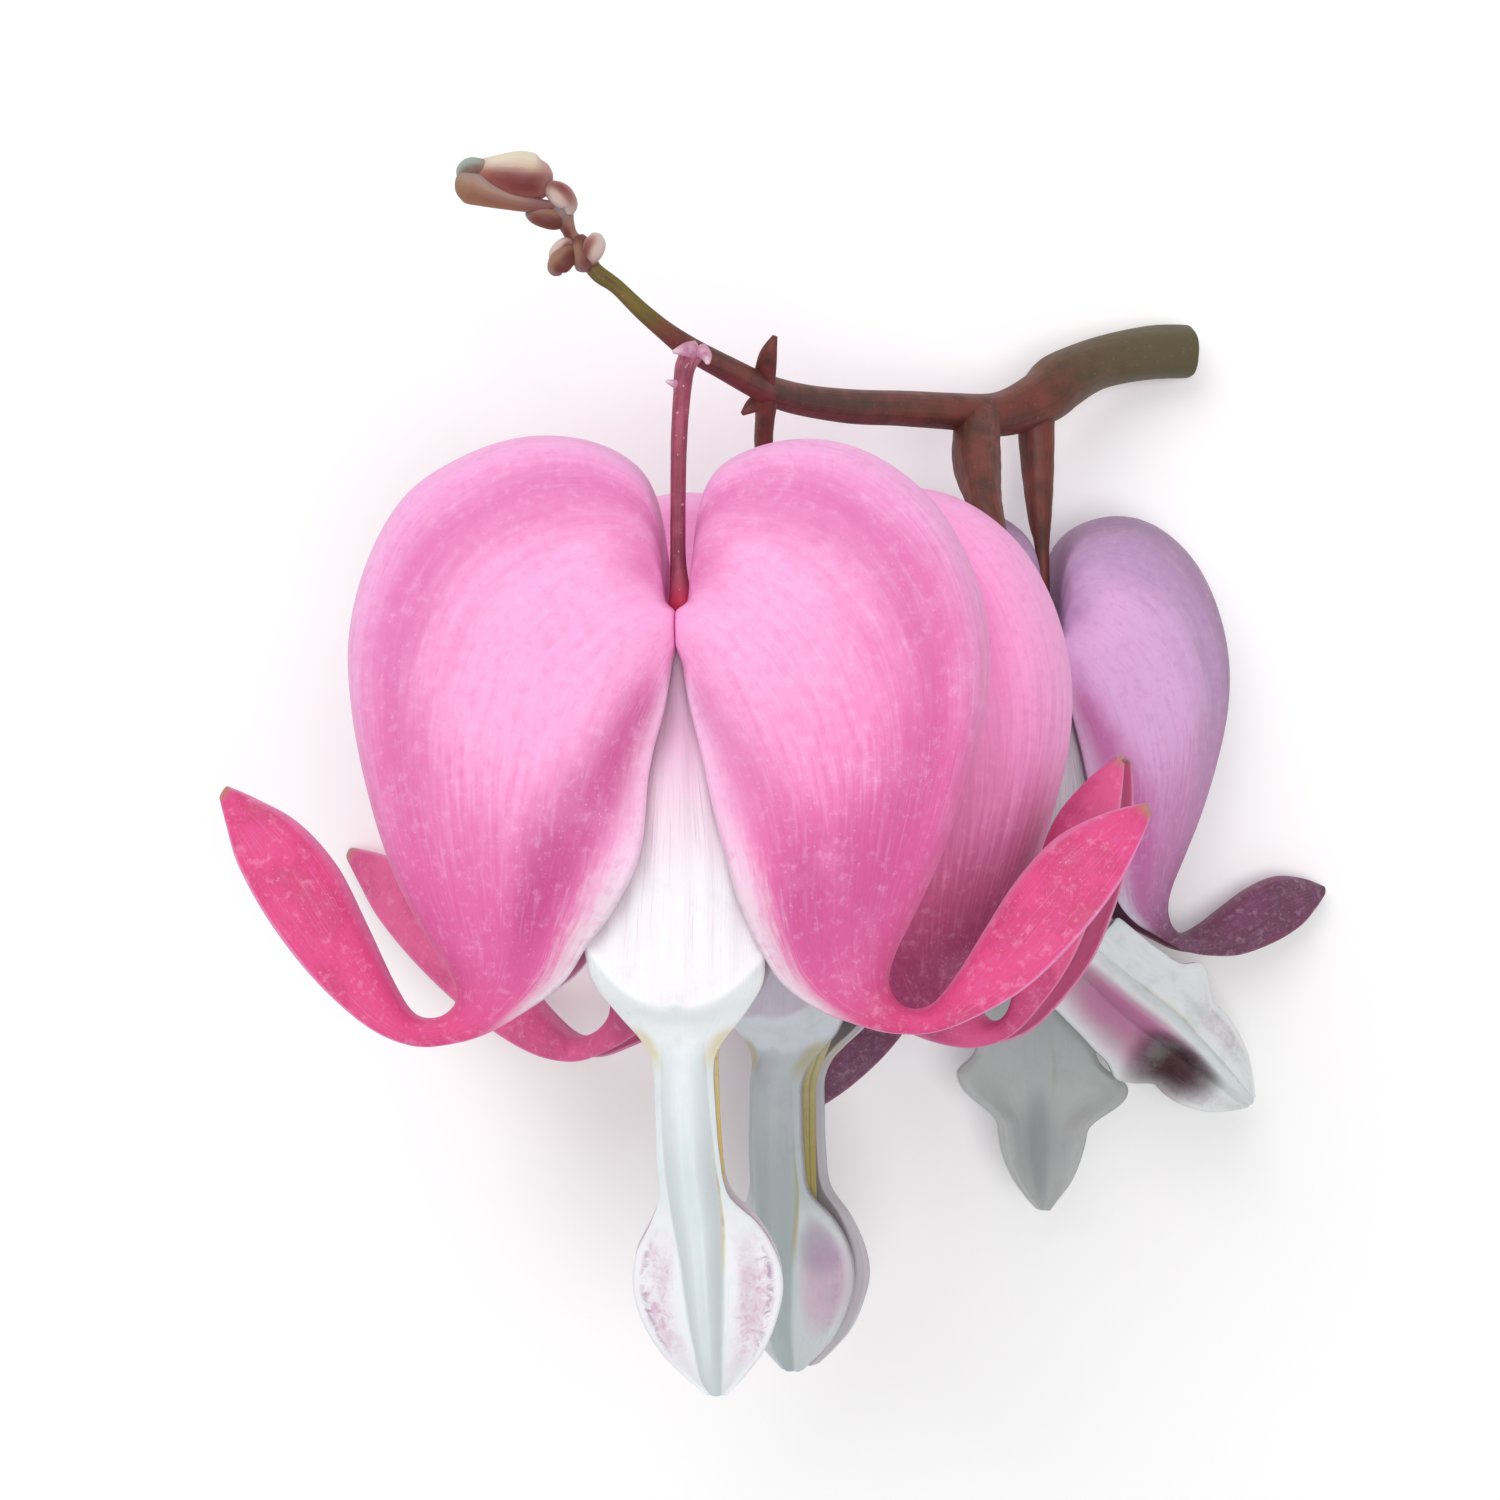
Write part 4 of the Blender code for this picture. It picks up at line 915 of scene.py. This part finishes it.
buds = {
    "steps": 70, "flatness": 0.9, "ripple": 0.02, "cloud": 1100,
    "tipSteps": 60, "tipSides": 20,
    "tip": ((596, 271, 23.0, 0.24), (585, 257, 23.1, 0.34), (577, 245, 23.1, 0.33), (571, 235, 23.2, 0.24),
            (567, 226, 23.3, 0.28), (563, 216, 23.3, 0.38), (559, 204, 23.4, 0.38)),
    "grown": (
        {"look": "pouch", "sides": 48, "path": (
            (553, 177, 23.5, 0.12), (547, 177, 23.5, 0.50), (538, 178, 23.5, 0.78), (522, 177, 23.5, 0.88),
            (504, 175, 23.5, 0.76), (487, 172, 23.5, 0.52), (475, 170, 23.5, 0.34), (467, 170, 23.5, 0.14))},
        {"look": "sepal", "sides": 40, "path": (
            (557, 204, 23.6, 0.14), (545, 206, 23.6, 0.22), (525, 204, 23.7, 0.28),
            (506, 200, 23.7, 0.34), (489, 195, 23.7, 0.44), (475, 189, 23.6, 0.58),
            (466, 186, 23.6, 0.56), (460, 186, 23.5, 0.38), (458, 186, 23.5, 0.16))},
        {"look": "cap", "sides": 28, "path": (
            (490, 168, 23.6, 0.20), (480, 167, 23.7, 0.30), (471, 168, 23.7, 0.36),
            (464, 172, 23.6, 0.30), (460, 178, 23.5, 0.14))},
        {"look": "collar", "sides": 32, "path": (
            (545, 186, 23.5, 0.20), (555, 191, 23.7, 0.38), (563, 197, 23.7, 0.42),
            (569, 205, 23.6, 0.32), (569, 214, 23.5, 0.16))},
        {"look": "young", "sides": 32, "path": (
            (567, 222, 23.3, 0.18), (556, 220, 23.4, 0.36), (544, 217, 23.5, 0.38),
            (534, 215, 23.5, 0.30), (527, 213, 23.4, 0.12))},
        {"look": "young", "sides": 32, "path": (
            (579, 250, 23.1, 0.20), (569, 254, 23.3, 0.38), (561, 262, 23.4, 0.42),
            (557, 269, 23.3, 0.34), (558, 275, 23.2, 0.14))},
        {"look": "collar", "sides": 28, "path": (
            (572, 241, 23.2, 0.18), (564, 246, 23.3, 0.28), (557, 255, 23.3, 0.30), (553, 263, 23.2, 0.14))},
        {"look": "young", "sides": 28, "path": (
            (578, 238, 23.2, 0.26), (582, 248, 23.3, 0.40), (583, 260, 23.3, 0.38), (582, 270, 23.1, 0.22))},
        {"look": "collar", "sides": 28, "path": (
            (587, 262, 23.1, 0.26), (591, 252, 23.4, 0.40), (595, 243, 23.4, 0.38), (596, 235, 23.3, 0.20))},
    ),
    # colour along the upper flank, along the lower flank, in the hollow, at the near end and at the far end;
    # the hollow colour is a bud's deep crimson, with painted shadow along the seam where the sepal lies
    # against the big bud
    "pouch": (
        ink(218, 206, 184), ink(160, 96, 88), ink(106, 36, 42), ink(174, 122, 118), ink(176, 140, 124),
    ),
    "sepal": (
        ink(164, 138, 132), ink(158, 110, 80), ink(130, 84, 74), ink(124, 76, 82), ink(130, 118, 96),
    ),
    "cap": (
        ink(150, 164, 156), ink(128, 112, 104), ink(120, 90, 84), ink(150, 112, 96), ink(146, 162, 154),
    ),
    "collar": (
        ink(206, 186, 178), ink(176, 136, 126), ink(118, 54, 58), ink(160, 120, 112), ink(200, 184, 178),
    ),
    "young": (
        ink(150, 112, 96), ink(122, 70, 54), ink(98, 44, 42), ink(108, 64, 56), ink(134, 120, 122),
    ),
}


def budLook(name):
    upper, lower, hollow, near, far = buds[name]
    look = Look(name)
    run, flank = look.measure("run"), look.measure("flank")
    cloud = look.noise(look.place(), buds["cloud"], 3, 0.55)
    streak = look.noise(look.vector(flank * 4, run * 1.5, 0.0), 2.0, 3, 0.6)
    colour = look.mix(lower, upper, look.step(flank + (streak - 0.5) * 0.5, -0.35, 0.75))
    # the hollow: deep crimson low on the bud, with painted shadow along the seam under the sepal
    deep = look.window(flank + (cloud - 0.5) * 0.4, -0.75, 0.02, 0.30) * look.step(run, 0.95, 0.35)
    colour = look.mix(colour, hollow, deep * 0.9)
    colour = look.mix(colour, near, look.step(run + (cloud - 0.5) * 0.1, 0.36, 0.10) * 0.8)
    colour = look.mix(colour, far, look.step(run + (cloud - 0.5) * 0.2, 0.62, 0.95) * 0.85)
    return look.finish(colour, 0.40 + cloud * 0.2, cloud + streak * 0.5, 0.03, 0.15)


def budRipple(run, angle):
    return np.ones_like(run) + buds["ripple"] * np.cos(angle * 3)


def buildBuds():
    looks = {name: budLook(name) for name in ("pouch", "sepal", "cap", "collar", "young")}
    centres, radii = pathOf(buds["tip"], buds["tipSteps"])
    settle(addTube("tip_stalk", centres, radii, buds["tipSides"], looks["young"]), "bud_cluster")
    for number, bud in enumerate(buds["grown"]):
        centres, radii = pathOf(bud["path"], buds["steps"])
        material = looks[bud["look"]]
        piece = addTube(f"bud_{number}", centres, radii, bud["sides"], material, buds["flatness"], budRipple)
        settle(piece, "bud_cluster")


buildBuds()
print("buds built")


# floor

def addFloor():
    look = Look("paleFloor")
    grain = look.noise(look.place(), 60, 3, 0.5)
    colour = look.mix((*studio["floor"], 1), (*studio["cloud"], 1), grain * 0.3)
    look.surface.inputs["Emission Strength"].default_value = studio["glow"]
    material = look.finish(colour, 0.9)
    mesh = bpy.data.meshes.new("floor")
    reach = studio["reach"]
    corners = [(-reach, -reach, 0), (reach, -reach, 0), (reach, reach, 0), (-reach, reach, 0)]
    mesh.from_pydata(corners, [], [(0, 1, 2, 3)])
    mesh.materials.append(material)
    floor = bpy.data.objects.new("floor", mesh)
    bpy.context.scene.collection.objects.link(floor)


addFloor()
